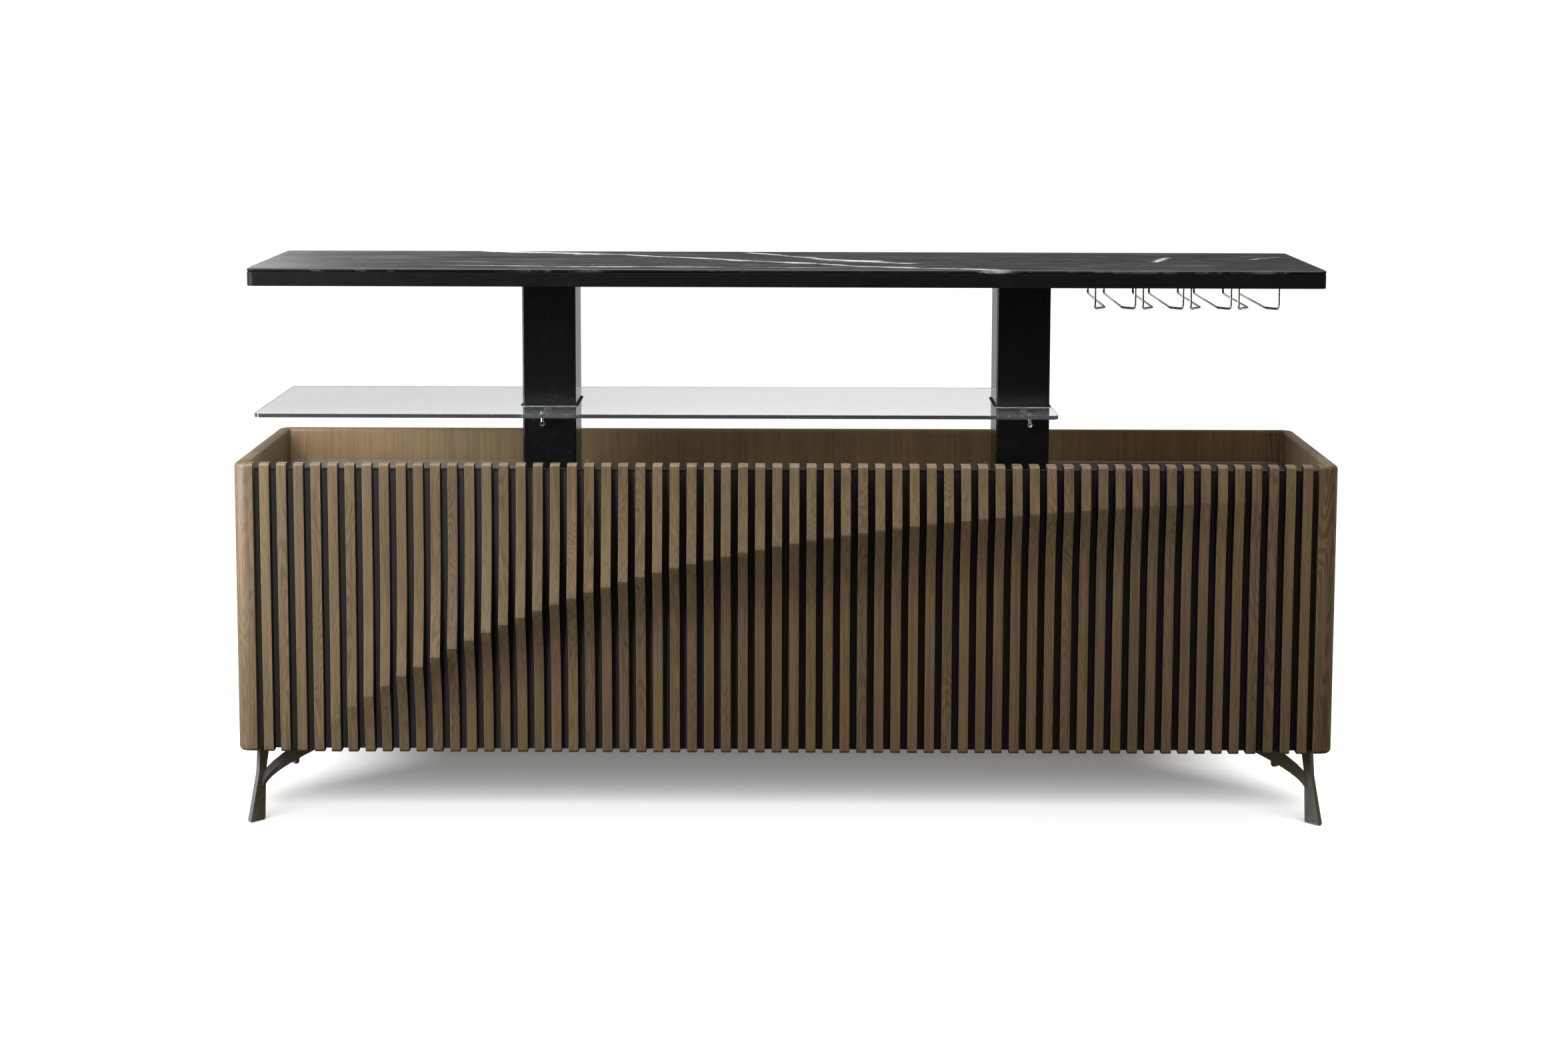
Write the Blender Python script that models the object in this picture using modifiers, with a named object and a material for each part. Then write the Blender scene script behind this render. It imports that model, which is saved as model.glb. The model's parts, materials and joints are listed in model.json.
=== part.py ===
"""A bar sideboard: an oak body with a relief-carved slatted front on four forked legs, and two
motor-driven columns that raise a stone-faced top with glass shelves and stemware racks.

Metres, +Z up. The origin lies on the floor, midway along the length and the depth."""

import math

import bmesh
import bpy
from mathutils import Matrix, Vector

# Clearance between pieces that touch, and how far shapes that are joined run into each other
SEAT = 0.0003
OVERRUN = 0.001

# Body
BODY_WIDTH = 2.200
BODY_DEPTH = 0.520
RIM_HEIGHT = 0.740
BODY_BOTTOM = 0.154
SIDE_WALL = 0.024
REAR_WALL = 0.020
CORNER_RADIUS = 0.026
INNER_CORNER_RADIUS = 0.004
EDGE_ROUNDING = 0.008
LARGEST_ROUNDING_SHARE = 0.4
POST_FACE = 0.040
POST_DEPTH = 0.060
REAR_POST_WIDTH = 0.060
FLOOR_THICKNESS = 0.018
FLOOR_RECESS = 0.006

# Slatted front
SLAT_WIDTH = 0.020
SLAT_PITCH = 0.034
SLAT_THICKNESS = 0.022
SLAT_END_ROUNDING = 0.006
LEAST_SLAT_GAP = 0.010
SWELL_STATIONS_ABOVE = (0.8, 0.6, 0.4, 0.2, 0.0)
SWELL_STATIONS_BELOW = (0.2, 0.4, 0.7)
BACKING_THICKNESS = 0.012
BACKING_BELOW_RIM = 0.013
BACKING_ABOVE_BOTTOM = 0.003
PANEL_COUNT = 4

# Relief carved across the slats: a crest line that climbs from the left foot to the right
CREST_HEIGHT = 0.036
CREST_BELOW_RIM = 0.044
CREST_DROP = 0.652
CREST_REACH = 0.622
SWELL_ABOVE = 0.260
SWELL_BELOW = 0.160
SWELL_POWER = 2
FADE_LEFT_START = 0.120
FADE_LEFT_LENGTH = 0.300
FADE_RIGHT_START = 0.020
FADE_RIGHT_LENGTH = 1.000

# Legs
FOOT_SIDE_INSET = 0.020
FOOT_FRONT_INSET = 0.022
FOOT_WIDTH = 0.0354
NECK_WIDTH = 0.0173
POST_WIDTH = 0.0227
LEG_THICKNESS = 0.0113
NECK_HEIGHT = 0.100
NECK_LEAN = 0.0221
POST_LEAN = 0.0267
REAR_SPLAY = 0.012
BLADE_ANGLE = math.radians(132.7)
STRUT_REACH = 0.118
STRUT_SWEEP = 0.026
STRUT_THICKNESS = 0.015
STRUT_FOOT_HEIGHT = 0.014
STRUT_HEAD_HEIGHT = 0.030
STRUT_START = 0.073
STRUT_RISE = 0.0055
STRUT_EDGE_SHARE = 0.6
LEG_PLATE_LENGTH = 0.180
LEG_PLATE_DEPTH = 0.074
LEG_PLATE_THICKNESS = 0.004
LEG_PLATE_CLEARANCE = 0.001
GLIDE_THICKNESS = 0.003
GLIDE_MARGIN = 0.001

# Lifting top
TOP_THICKNESS = 0.036
STONE_THICKNESS = 0.008
TOP_SIDE_GAP = 0.003
TOP_FRONT_GAP = 0.004
TOP_REAR_GAP = 0.003
TOP_CORNER_RADIUS = 0.015
TOP_EDGE_ROUNDING = 0.0025

# Telescopic columns
COLUMN_SPACING = 0.968
COLUMN_WIDTH = 0.109
COLUMN_DEPTH = 0.150
COLUMN_SETBACK = 0.173
COLUMN_ROUNDING = 0.005
SLEEVE_WALL = 0.003
SLEEVE_FLOOR_GAP = 0.034
COLUMN_OVERLAP = 0.0917
CAP_THICKNESS = 0.006
MAST_PLAY = 0.004
MAST_WALL = 0.004
MAST_HEADROOM = 0.008
MAST_BASE_MARGIN = 0.020
MAST_BASE_THICKNESS = 0.006
SLIDER_HEIGHT = 0.040
GLIDE_RING_HEIGHT = 0.030

# Linear drive inside each column
ROD_RADIUS = 0.014
ROD_FOOT_GAP = 0.023
TUBE_RADIUS = 0.023
TUBE_HEADROOM = 0.018
DRIVE_AXIS_OFFSET = 0.030
MOTOR_RADIUS = 0.021
MOTOR_LENGTH = 0.140
MOTOR_OFFSET = -0.030
GEARBOX_WIDTH = 0.060
GEARBOX_DEPTH = 0.116
GEARBOX_HEIGHT = 0.046
BORE_FLOOR = 0.010

# Control box, inlet and motor leads
CONTROL_WIDTH = 0.220
CONTROL_DEPTH = 0.070
CONTROL_HEIGHT = 0.044
HOUSING_ROUNDING = 0.003
INLET_WIDTH = 0.048
INLET_HEIGHT = 0.028
INLET_RIM = 0.006
INLET_RECESS = 0.014
LEAD_RADIUS = 0.003
LEAD_HOLE_RADIUS = 0.0045
LEAD_ENTRY = 0.013
LEAD_POINTS = 24
LEAD_TURN = (0.10, 0.62)
LEAD_FALL = (0.03, 0.22)
LEAD_CLIMB = (0.52, 0.24)

# Glass shelves
SHELF_THICKNESS = 0.008
LOWER_SHELF_RISE = 0.068
SHELF_SPACING = 0.160
SHELF_SIDE_GAP = 0.012
SHELF_FRONT_GAP = 0.008
SHELF_REAR_GAP = 0.014
SHELF_OVERRUN = 0.0065
SHELF_CORNER_RADIUS = 0.015
GASKET_WALL = 0.0034
GASKET_LIP = 0.0012
BRACKET_WIDTH = 0.014
BRACKET_REACH = 0.026
BRACKET_THICKNESS = 0.012
STUD_RADIUS = 0.0065
STUD_LENGTH = 0.030
STUD_OFFSET = 0.013
STUD_REACH = 0.016
STUD_ROUNDING = 0.004

# Stemware racks
RACK_COUNT = 4
RACK_PITCH = 0.0954
RACK_COLUMN_GAP = 0.1165
RACK_MOUTH = 0.080
RAIL_SPACING = 0.034
RACK_DROP = 0.0397
RACK_FRONT_INSET = 0.022
FUNNEL_DEPTH = 0.026
RACK_LENGTH = 0.340
WIRE_RADIUS = 0.00225
WIRE_BEND = 0.007

# Roundness
ARC_STEPS = 6
EDGE_STEPS = 3
WIRE_STEPS = 2
ROUND_SIDES = 20
STUD_SIDES = 12

# Levels and planes that follow from the sizes above
FRONT_Y = -(BODY_DEPTH - CREST_HEIGHT) / 2
REAR_Y = FRONT_Y + BODY_DEPTH
SIDE_X = BODY_WIDTH / 2
INNER_SIDE_X = SIDE_X - SIDE_WALL
INNER_FRONT_Y = FRONT_Y + SLAT_THICKNESS + BACKING_THICKNESS
INNER_REAR_Y = REAR_Y - REAR_WALL
FLOOR_BOTTOM = BODY_BOTTOM + FLOOR_RECESS
FLOOR_TOP = FLOOR_BOTTOM + FLOOR_THICKNESS
MAST_FLOOR = FLOOR_TOP + SEAT + MAST_BASE_THICKNESS
MAST_TOP = RIM_HEIGHT - TOP_THICKNESS - SEAT - CAP_THICKNESS - MAST_HEADROOM
LOWERED_SLEEVE_BOTTOM = FLOOR_TOP + SLEEVE_FLOOR_GAP
TRAVEL = MAST_TOP - LOWERED_SLEEVE_BOTTOM - COLUMN_OVERLAP
TOP_HEIGHT = RIM_HEIGHT + TRAVEL
BOARD_BOTTOM = TOP_HEIGHT - TOP_THICKNESS
STONE_BOTTOM = TOP_HEIGHT - STONE_THICKNESS
COLUMN_FRONT_Y = FRONT_Y + COLUMN_SETBACK
COLUMN_Y = COLUMN_FRONT_Y + COLUMN_DEPTH / 2
CAP_BOTTOM = BOARD_BOTTOM - SEAT - CAP_THICKNESS
SLEEVE_TOP = CAP_BOTTOM - SEAT
SLEEVE_BOTTOM = LOWERED_SLEEVE_BOTTOM + TRAVEL
ROD_LENGTH = SLEEVE_TOP - TRAVEL - MAST_FLOOR - BORE_FLOOR - ROD_FOOT_GAP
MAST_WIDTH = COLUMN_WIDTH - 2 * (SLEEVE_WALL + MAST_PLAY)
MAST_DEPTH = COLUMN_DEPTH - 2 * (SLEEVE_WALL + MAST_PLAY)
LOWER_SHELF_Z = SLEEVE_BOTTOM + LOWER_SHELF_RISE
UPPER_SHELF_Z = LOWER_SHELF_Z + SHELF_SPACING
SHELF_SIDE_X = INNER_SIDE_X - SHELF_SIDE_GAP
SHELF_FRONT_Y = INNER_FRONT_Y + SHELF_FRONT_GAP
SHELF_REAR_Y = INNER_REAR_Y - SHELF_REAR_GAP
SIDES = (("left", -1), ("right", 1))

# Colour, roughness, metallic, transmission
FINISHES = {
    "oak": ((0.27, 0.20, 0.13), 0.55, 0.0, 0.0),
    "black_board": ((0.012, 0.012, 0.013), 0.6, 0.0, 0.0),
    "black_plastic": ((0.015, 0.015, 0.016), 0.5, 0.0, 0.0),
    "stone": ((0.03, 0.03, 0.034), 0.35, 0.0, 0.0),
    "black_paint": ((0.012, 0.012, 0.012), 0.4, 0.2, 0.0),
    "grey_casting": ((0.08, 0.082, 0.07), 0.45, 0.8, 0.0),
    "bare_steel": ((0.45, 0.45, 0.46), 0.35, 1.0, 0.0),
    "chrome": ((0.8, 0.8, 0.81), 0.08, 1.0, 0.0),
    "nylon": ((0.6, 0.6, 0.58), 0.5, 0.0, 0.0),
    "rubber": ((0.02, 0.02, 0.02), 0.8, 0.0, 0.0),
    "clear_glass": ((0.85, 0.92, 0.9), 0.02, 0.0, 0.9),
}


def start_scene():
    for thing in list(bpy.data.objects):
        bpy.data.objects.remove(thing, do_unlink=True)
    parts = bpy.data.collections.new("bar_sideboard")
    cutters = bpy.data.collections.new("cutters")
    for collection in (parts, cutters):
        bpy.context.scene.collection.children.link(collection)
    cutters.hide_render = True
    return parts, cutters


PARTS, CUTTERS = start_scene()


def finish(name):
    """The Principled material of this finish, made once."""
    found = bpy.data.materials.get(name)
    if found:
        return found
    colour, roughness, metallic, transmission = FINISHES[name]
    made = bpy.data.materials.new(name)
    made.use_nodes = True
    made.diffuse_color = (*colour, 1.0)
    shader = made.node_tree.nodes["Principled BSDF"]
    shader.inputs["Base Color"].default_value = (*colour, 1.0)
    shader.inputs["Roughness"].default_value = roughness
    shader.inputs["Metallic"].default_value = metallic
    shader.inputs["Transmission Weight"].default_value = transmission
    return made


def add_part(name, mesh, material, parent=None):
    part = bpy.data.objects.new(name, mesh)
    mesh.materials.append(finish(material))
    PARTS.objects.link(part)
    part.parent = parent
    return part


def add_cutter(name, mesh, material=None):
    cutter = bpy.data.objects.new(name, mesh)
    if material:
        mesh.materials.append(finish(material))
    CUTTERS.objects.link(cutter)
    cutter.hide_render = True
    cutter.display_type = "WIRE"
    return cutter


def combine(part, operation, other):
    modifier = part.modifiers.new(f"{operation.lower()}_{other.name}", "BOOLEAN")
    modifier.operation = operation
    modifier.solver = "EXACT"
    modifier.material_mode = "TRANSFER"
    modifier.object = other


def mesh_of(shape, name):
    mesh = bpy.data.meshes.new(name)
    bmesh.ops.recalc_face_normals(shape, faces=shape.faces)
    shape.to_mesh(mesh)
    shape.free()
    return mesh


def box_mesh(name, low, high, rounding=0.0):
    """A box between two corners, its edges rounded if asked."""
    shape = bmesh.new()
    bmesh.ops.create_cube(shape, size=1.0)
    size = [b - a for a, b in zip(low, high)]
    centre = [(a + b) / 2 for a, b in zip(low, high)]
    bmesh.ops.scale(shape, vec=size, verts=shape.verts)
    bmesh.ops.translate(shape, vec=centre, verts=shape.verts)
    if rounding:
        bmesh.ops.bevel(
            shape,
            geom=shape.edges[:],
            offset=rounding,
            segments=EDGE_STEPS - 1,
            profile=0.5,
            affect="EDGES",
        )
    return mesh_of(shape, name)


def cylinder_mesh(name, centre, radius, bottom, top, sides=ROUND_SIDES, foot_rounding=0.0):
    shape = bmesh.new()
    bmesh.ops.create_cone(
        shape,
        cap_ends=True,
        segments=sides,
        radius1=radius,
        radius2=radius,
        depth=top - bottom,
    )
    bmesh.ops.translate(shape, vec=(*centre, (bottom + top) / 2), verts=shape.verts)
    if foot_rounding:
        rim = [
            edge
            for edge in shape.edges
            if all(abs(v.co.z - bottom) < SEAT for v in edge.verts)
        ]
        bmesh.ops.bevel(
            shape,
            geom=rim,
            offset=foot_rounding,
            segments=WIRE_STEPS,
            profile=0.5,
            affect="EDGES",
        )
    return mesh_of(shape, name)


def arc(centre, radius, start, end, steps):
    """Points of an arc, both ends included, in degrees from the first axis."""
    angles = [math.radians(start + (end - start) * i / steps) for i in range(steps + 1)]
    return [
        (centre[0] + radius * math.cos(a), centre[1] + radius * math.sin(a))
        for a in angles
    ]


def rounded_rectangle(low, high, radius, steps=EDGE_STEPS):
    """A rectangle's outline with round corners, counterclockwise."""
    corners = (
        (high[0] - radius, high[1] - radius, 0),
        (low[0] + radius, high[1] - radius, 90),
        (low[0] + radius, low[1] + radius, 180),
        (high[0] - radius, low[1] + radius, 270),
    )
    points = []
    for x, y, turn in corners:
        points += arc((x, y), radius, turn, turn + 90, steps)
    return points


def extruded_mesh(name, outlines, low, high, axis="Z"):
    """A flat outline, with any holes, filled and drawn out along one axis.

    Along Z the outline lies in X and Y, along X in Y and Z, and along Y in Z and X."""
    flat = bpy.data.curves.new(name, "CURVE")
    flat.dimensions = "2D"
    flat.fill_mode = "BOTH"
    flat.extrude = (high - low) / 2
    for outline in outlines:
        spline = flat.splines.new("POLY")
        spline.points.add(len(outline) - 1)
        for point, (x, y) in zip(spline.points, outline):
            point.co = (x, y, 0.0, 1.0)
        spline.use_cyclic_u = True
    mesh = mesh_of_curve(flat, name)
    turn = {
        "Z": Matrix.Identity(4),
        "X": Matrix(((0, 0, 1, 0), (1, 0, 0, 0), (0, 1, 0, 0), (0, 0, 0, 1))),
        "Y": Matrix(((0, 1, 0, 0), (0, 0, 1, 0), (1, 0, 0, 0), (0, 0, 0, 1))),
    }[axis]
    mesh.transform(turn @ Matrix.Translation((0, 0, (low + high) / 2)))
    return mesh


def mesh_of_curve(curve, name):
    """A curve as a mesh whose caps are welded to its sides."""
    guide = bpy.data.objects.new(name, curve)
    CUTTERS.objects.link(guide)
    bpy.context.view_layer.update()
    graph = bpy.context.evaluated_depsgraph_get()
    made = bpy.data.meshes.new_from_object(guide.evaluated_get(graph))
    bpy.data.objects.remove(guide, do_unlink=True)
    shape = bmesh.new()
    shape.from_mesh(made)
    bmesh.ops.remove_doubles(shape, verts=shape.verts, dist=1e-6)
    bpy.data.meshes.remove(made)
    return mesh_of(shape, name)


def loft_mesh(name, sections):
    """A skin through sections that have as many points each, closed by a face at both ends."""
    shape = bmesh.new()
    rings = [[shape.verts.new(point) for point in section] for section in sections]
    for first, second in zip(rings, rings[1:]):
        for i, corner in enumerate(first):
            beside = (i + 1) % len(first)
            shape.faces.new((corner, first[beside], second[beside], second[i]))
    shape.faces.new(rings[0])
    shape.faces.new(rings[-1])
    return mesh_of(shape, name)


def smooth(part, angle=40.0):
    part.data.shade_smooth()
    part.data.set_sharp_from_angle(angle=math.radians(angle))


def wall_profile(thickness):
    """Depth into the wall and height round a wall's section: round top, round outer foot."""
    rounding = min(EDGE_ROUNDING, thickness * LARGEST_ROUNDING_SHARE)
    outer_foot = arc((rounding, BODY_BOTTOM + rounding), rounding, 180, 270, EDGE_STEPS)
    inner_foot = [(thickness, BODY_BOTTOM)]
    inner_top = arc(
        (thickness - rounding, RIM_HEIGHT - rounding), rounding, 0, 90, EDGE_STEPS
    )
    outer_top = arc((rounding, RIM_HEIGHT - rounding), rounding, 90, 180, EDGE_STEPS)
    return outer_foot + inner_foot + inner_top + outer_top


def wall_section(outer, inner):
    """A wall's section between its outer and inner face at one place on the plan."""
    across = Vector(inner) - Vector(outer)
    thickness = across.length
    return [
        (*(Vector(outer) + across * (depth / thickness)), height)
        for depth, height in wall_profile(thickness)
    ]


def side_panels():
    low = FRONT_Y + POST_DEPTH + SEAT
    high = REAR_Y - REAR_POST_WIDTH - SEAT
    for name, side in SIDES:
        outline = [(z, side * (SIDE_X - depth)) for depth, z in wall_profile(SIDE_WALL)]
        mesh = extruded_mesh(f"side_panel_{name}", [outline], low, high, "Y")
        smooth(add_part(f"side_panel_{name}", mesh, "oak"))


def front_posts():
    """Front corners: a wall section swept round the corner and thickened to the slatted front."""
    outer_centre = (SIDE_X - CORNER_RADIUS, FRONT_Y + CORNER_RADIUS)
    inner_centre = (
        INNER_SIDE_X - INNER_CORNER_RADIUS,
        INNER_FRONT_Y + INNER_CORNER_RADIUS,
    )
    joint_y = FRONT_Y + POST_DEPTH
    face_x = SIDE_X - POST_FACE
    for name, side in SIDES:
        outer = [(SIDE_X, joint_y)]
        outer += arc(outer_centre, CORNER_RADIUS, 0, -90, ARC_STEPS)
        outer += [(face_x, FRONT_Y)]
        inner = [(INNER_SIDE_X, joint_y)]
        inner += arc(inner_centre, INNER_CORNER_RADIUS, 0, -90, ARC_STEPS)
        inner += [(face_x, INNER_FRONT_Y)]
        sections = [
            wall_section((side * a[0], a[1]), (side * b[0], b[1]))
            for a, b in zip(outer, inner)
        ]
        mesh = loft_mesh(f"corner_post_front_{name}", sections)
        smooth(add_part(f"corner_post_front_{name}", mesh, "oak"))


def rear_posts():
    outer_centre = (SIDE_X - CORNER_RADIUS, REAR_Y - CORNER_RADIUS)
    inner_centre = (
        INNER_SIDE_X - INNER_CORNER_RADIUS,
        INNER_REAR_Y - INNER_CORNER_RADIUS,
    )
    joint_y = REAR_Y - REAR_POST_WIDTH
    joint_x = SIDE_X - REAR_POST_WIDTH
    for name, side in SIDES:
        outer = [(SIDE_X, joint_y)]
        outer += arc(outer_centre, CORNER_RADIUS, 0, 90, ARC_STEPS)
        outer += [(joint_x, REAR_Y)]
        inner = [(INNER_SIDE_X, joint_y)]
        inner += arc(inner_centre, INNER_CORNER_RADIUS, 0, 90, ARC_STEPS)
        inner += [(joint_x, INNER_REAR_Y)]
        sections = [
            wall_section((side * a[0], a[1]), (side * b[0], b[1]))
            for a, b in zip(outer, inner)
        ]
        mesh = loft_mesh(f"corner_post_rear_{name}", sections)
        smooth(add_part(f"corner_post_rear_{name}", mesh, "oak"))


def rear_panel():
    reach = SIDE_X - REAR_POST_WIDTH - SEAT
    outline = [(REAR_Y - depth, z) for depth, z in wall_profile(REAR_WALL)]
    mesh = extruded_mesh("rear_panel", [outline], -reach, reach, "X")
    panel = add_part("rear_panel", mesh, "oak")
    low = (-INLET_WIDTH / 2 - SEAT, INNER_REAR_Y - SEAT, inlet_bottom() - SEAT)
    high = (
        INLET_WIDTH / 2 + SEAT,
        REAR_Y + SEAT,
        inlet_bottom() + INLET_HEIGHT + SEAT,
    )
    combine(panel, "DIFFERENCE", add_cutter("inlet_hole", box_mesh("inlet_hole", low, high)))
    smooth(panel)


def floor_panel():
    low = (-INNER_SIDE_X + SEAT, INNER_FRONT_Y + SEAT, FLOOR_BOTTOM)
    high = (INNER_SIDE_X - SEAT, INNER_REAR_Y - SEAT, FLOOR_TOP)
    radius = INNER_CORNER_RADIUS
    outline = rounded_rectangle(low[:2], high[:2], radius)
    mesh = extruded_mesh("floor_panel", [outline], low[2], high[2])
    add_part("floor_panel", mesh, "oak")


def smoothstep(t):
    t = min(1.0, max(0.0, t))
    return t * t * (3 - 2 * t)


def crest_z(x):
    """Height of the relief's crest line, climbing ever more gently from left to right."""
    return RIM_HEIGHT - CREST_BELOW_RIM - CREST_DROP * math.exp(-(x + SIDE_X) / CREST_REACH)


def relief(x, z):
    """How far a slat at x stands out of the flat front at height z."""
    rise = smoothstep((x + SIDE_X - FADE_LEFT_START) / FADE_LEFT_LENGTH)
    near_end = (SIDE_X - x - FADE_RIGHT_START) / FADE_RIGHT_LENGTH
    fall = math.sin(math.pi / 2 * min(1.0, max(0.0, near_end)))
    above = z - crest_z(x)
    share = 1 - above / SWELL_ABOVE if above >= 0 else 1 + above / SWELL_BELOW
    return CREST_HEIGHT * rise * fall * max(0.0, share) ** SWELL_POWER


def slat_outline(x):
    """Side view of one slat, in Y and Z: a flat back, a carved front and round ends."""
    low, high, rounding = BODY_BOTTOM, RIM_HEIGHT, SLAT_END_ROUNDING
    crest = crest_z(x)
    stations = [crest + SWELL_ABOVE * share for share in SWELL_STATIONS_ABOVE]
    stations += [crest - SWELL_BELOW * share for share in SWELL_STATIONS_BELOW]
    first, last = low + rounding, high - rounding
    least_step = rounding / 2
    inside = [z for z in sorted(stations) if first + least_step < z < last - least_step]
    foot = (FRONT_Y - relief(x, first) + rounding, first)
    head = (FRONT_Y - relief(x, last) + rounding, last)
    front = arc(foot, rounding, 270, 180, WIRE_STEPS)
    front += [(FRONT_Y - relief(x, z), z) for z in inside]
    front += arc(head, rounding, 180, 90, WIRE_STEPS)
    back_y = FRONT_Y + SLAT_THICKNESS
    return front + [(back_y, high), (back_y, low)]


def slat_centres():
    field = BODY_WIDTH - 2 * POST_FACE
    count = int((field - SLAT_WIDTH - 2 * LEAST_SLAT_GAP) / SLAT_PITCH) + 1
    return [(i - (count - 1) / 2) * SLAT_PITCH for i in range(count)]


def slat_panels():
    """The carved front: backing boards side by side, each with its share of the slats."""
    centres = slat_centres()
    reach = SIDE_X - POST_FACE - SEAT
    per_panel = len(centres) / PANEL_COUNT
    board_y = FRONT_Y + SLAT_THICKNESS - OVERRUN
    board_low = BODY_BOTTOM + BACKING_ABOVE_BOTTOM
    board_high = RIM_HEIGHT - BACKING_BELOW_RIM
    for panel in range(PANEL_COUNT):
        first = round(panel * per_panel)
        last = round((panel + 1) * per_panel)
        share = centres[first:last]
        at_left = first == 0
        at_right = last == len(centres)
        low_x = -reach if at_left else share[0] - SLAT_PITCH / 2 + SEAT / 2
        high_x = reach if at_right else share[-1] + SLAT_PITCH / 2 - SEAT / 2
        name = f"slat_panel_{panel + 1}"
        board = box_mesh(
            name, (low_x, board_y, board_low), (high_x, INNER_FRONT_Y, board_high)
        )
        part = add_part(name, board, "black_board")
        joined = bmesh.new()
        for x in share:
            slat = extruded_mesh(
                "slat", [slat_outline(x)], x - SLAT_WIDTH / 2, x + SLAT_WIDTH / 2, "X"
            )
            joined.from_mesh(slat)
            bpy.data.meshes.remove(slat)
        slats = add_cutter(f"slats_{panel + 1}", mesh_of(joined, "slats"), "oak")
        combine(part, "UNION", slats)


def leg_place(side, end):
    """Maps a place given from the body's corner, in and back, to this corner of the body."""

    def place(inward, backward, z):
        y = FRONT_Y + backward if end < 0 else REAR_Y - backward
        return (side * (SIDE_X - inward), y, z)

    return place


def blade_section(place, lean, width, z, margin=0.0):
    """Plan section of the blade: a thin rectangle on the diagonal, its outer corner leaning in."""
    along = Vector((-math.cos(BLADE_ANGLE), math.sin(BLADE_ANGLE)))
    across = Vector((-1, 1)) / math.sqrt(2)
    corner = Vector((FOOT_SIDE_INSET, FOOT_FRONT_INSET)) + along * lean
    near = corner + along * margin + across * margin
    far = corner + along * (width - margin) + across * margin
    step = across * (LEG_THICKNESS - 2 * margin)
    return [place(*point, z) for point in (near, far, far + step, near + step)]


def strut_section(place, centre, toward, height, level_z=None):
    """A six-sided section with a ridge along its front, square to the strut's run or level."""
    run = Vector(toward).normalized()
    level = Vector((-run.y, run.x, 0)).normalized()
    rise = run.cross(level)
    half = STRUT_THICKNESS / 2
    rim = (
        (-STRUT_EDGE_SHARE * half, height / 2),
        (STRUT_EDGE_SHARE * half, height / 2),
        (half, 0),
        (STRUT_EDGE_SHARE * half, -height / 2),
        (-STRUT_EDGE_SHARE * half, -height / 2),
        (-half, 0),
    )
    points = [Vector(centre) + level * a + rise * b for a, b in rim]
    if level_z:
        points = [p + run * ((level_z - p.z) / run.z) for p in points]
    return [place(*p) for p in points]


def strut_mesh(name, place, plate_z):
    """The strut's run bends out of the blade's neck and climbs inward to the plate."""
    along = Vector((-math.cos(BLADE_ANGLE), math.sin(BLADE_ANGLE), 0))
    across = Vector((-1, 1, 0)) / math.sqrt(2)
    corner = Vector((FOOT_SIDE_INSET, FOOT_FRONT_INSET, 0)) + along * NECK_LEAN
    middle = corner + along * NECK_WIDTH / 2 + across * LEG_THICKNESS / 2
    start = middle + Vector((0, 0, STRUT_START))
    bend = middle + along * NECK_WIDTH / 2 + Vector((0, 0, NECK_HEIGHT + STRUT_RISE))
    head = bend + Vector((STRUT_REACH - NECK_WIDTH, STRUT_SWEEP, plate_z - bend.z))
    head_z = plate_z + LEG_PLATE_THICKNESS / 2
    sections = []
    for step in range(ARC_STEPS + 1):
        t = step / ARC_STEPS
        centre = start * (1 - t) ** 2 + bend * 2 * t * (1 - t) + head * t**2
        toward = (bend - start) * (1 - t) + (head - bend) * t
        height = STRUT_FOOT_HEIGHT + (STRUT_HEAD_HEIGHT - STRUT_FOOT_HEIGHT) * t
        level_z = head_z if step == ARC_STEPS else None
        sections.append(strut_section(place, centre, toward, height, level_z))
    return loft_mesh(name, sections)


def legs():
    plate_top = FLOOR_BOTTOM - SEAT
    plate_z = plate_top - LEG_PLATE_THICKNESS
    clear = LEG_PLATE_CLEARANCE + (1 - 1 / math.sqrt(2)) * INNER_CORNER_RADIUS
    plate_side = SIDE_WALL + clear
    plate_end = SLAT_THICKNESS + BACKING_THICKNESS + clear
    for end_name, end in (("front", -1), ("rear", 1)):
        for side_name, side in SIDES:
            where = f"{end_name}_{side_name}"
            place = leg_place(side, end)
            splay = REAR_SPLAY if end > 0 else 0.0
            neck_lean = NECK_LEAN - splay * (1 - NECK_HEIGHT / plate_z)
            sections = [
                blade_section(place, -splay, FOOT_WIDTH, GLIDE_THICKNESS),
                blade_section(place, neck_lean, NECK_WIDTH, NECK_HEIGHT),
                blade_section(place, POST_LEAN, POST_WIDTH, plate_z + SEAT),
            ]
            leg = add_part(f"leg_{where}", loft_mesh(f"leg_{where}", sections), "grey_casting")
            strut = add_cutter(f"strut_{where}", strut_mesh(f"strut_{where}", place, plate_z))
            low = place(plate_side, plate_end, plate_z)
            high = place(plate_side + LEG_PLATE_LENGTH, plate_end + LEG_PLATE_DEPTH, plate_top)
            corners = [sorted(pair) for pair in zip(low, high)]
            low, high = zip(*corners)
            plate = add_cutter(f"plate_{where}", box_mesh(f"plate_{where}", low, high))
            combine(leg, "UNION", strut)
            combine(leg, "UNION", plate)
            pad = [
                blade_section(place, -splay, FOOT_WIDTH, z, GLIDE_MARGIN)
                for z in (0.0, GLIDE_THICKNESS - SEAT)
            ]
            add_part(f"leg_glide_{where}", loft_mesh(f"leg_glide_{where}", pad), "rubber")


def column_x(side):
    return side * COLUMN_SPACING / 2


def around_column(side, grow):
    """Outline of a column's section, grown by this much on each side."""
    x = column_x(side)
    half_width = COLUMN_WIDTH / 2 + grow
    half_depth = COLUMN_DEPTH / 2 + grow
    radius = max(COLUMN_ROUNDING + grow, COLUMN_ROUNDING / 5)
    return rounded_rectangle(
        (x - half_width, COLUMN_Y - half_depth),
        (x + half_width, COLUMN_Y + half_depth),
        radius,
    )


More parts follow.
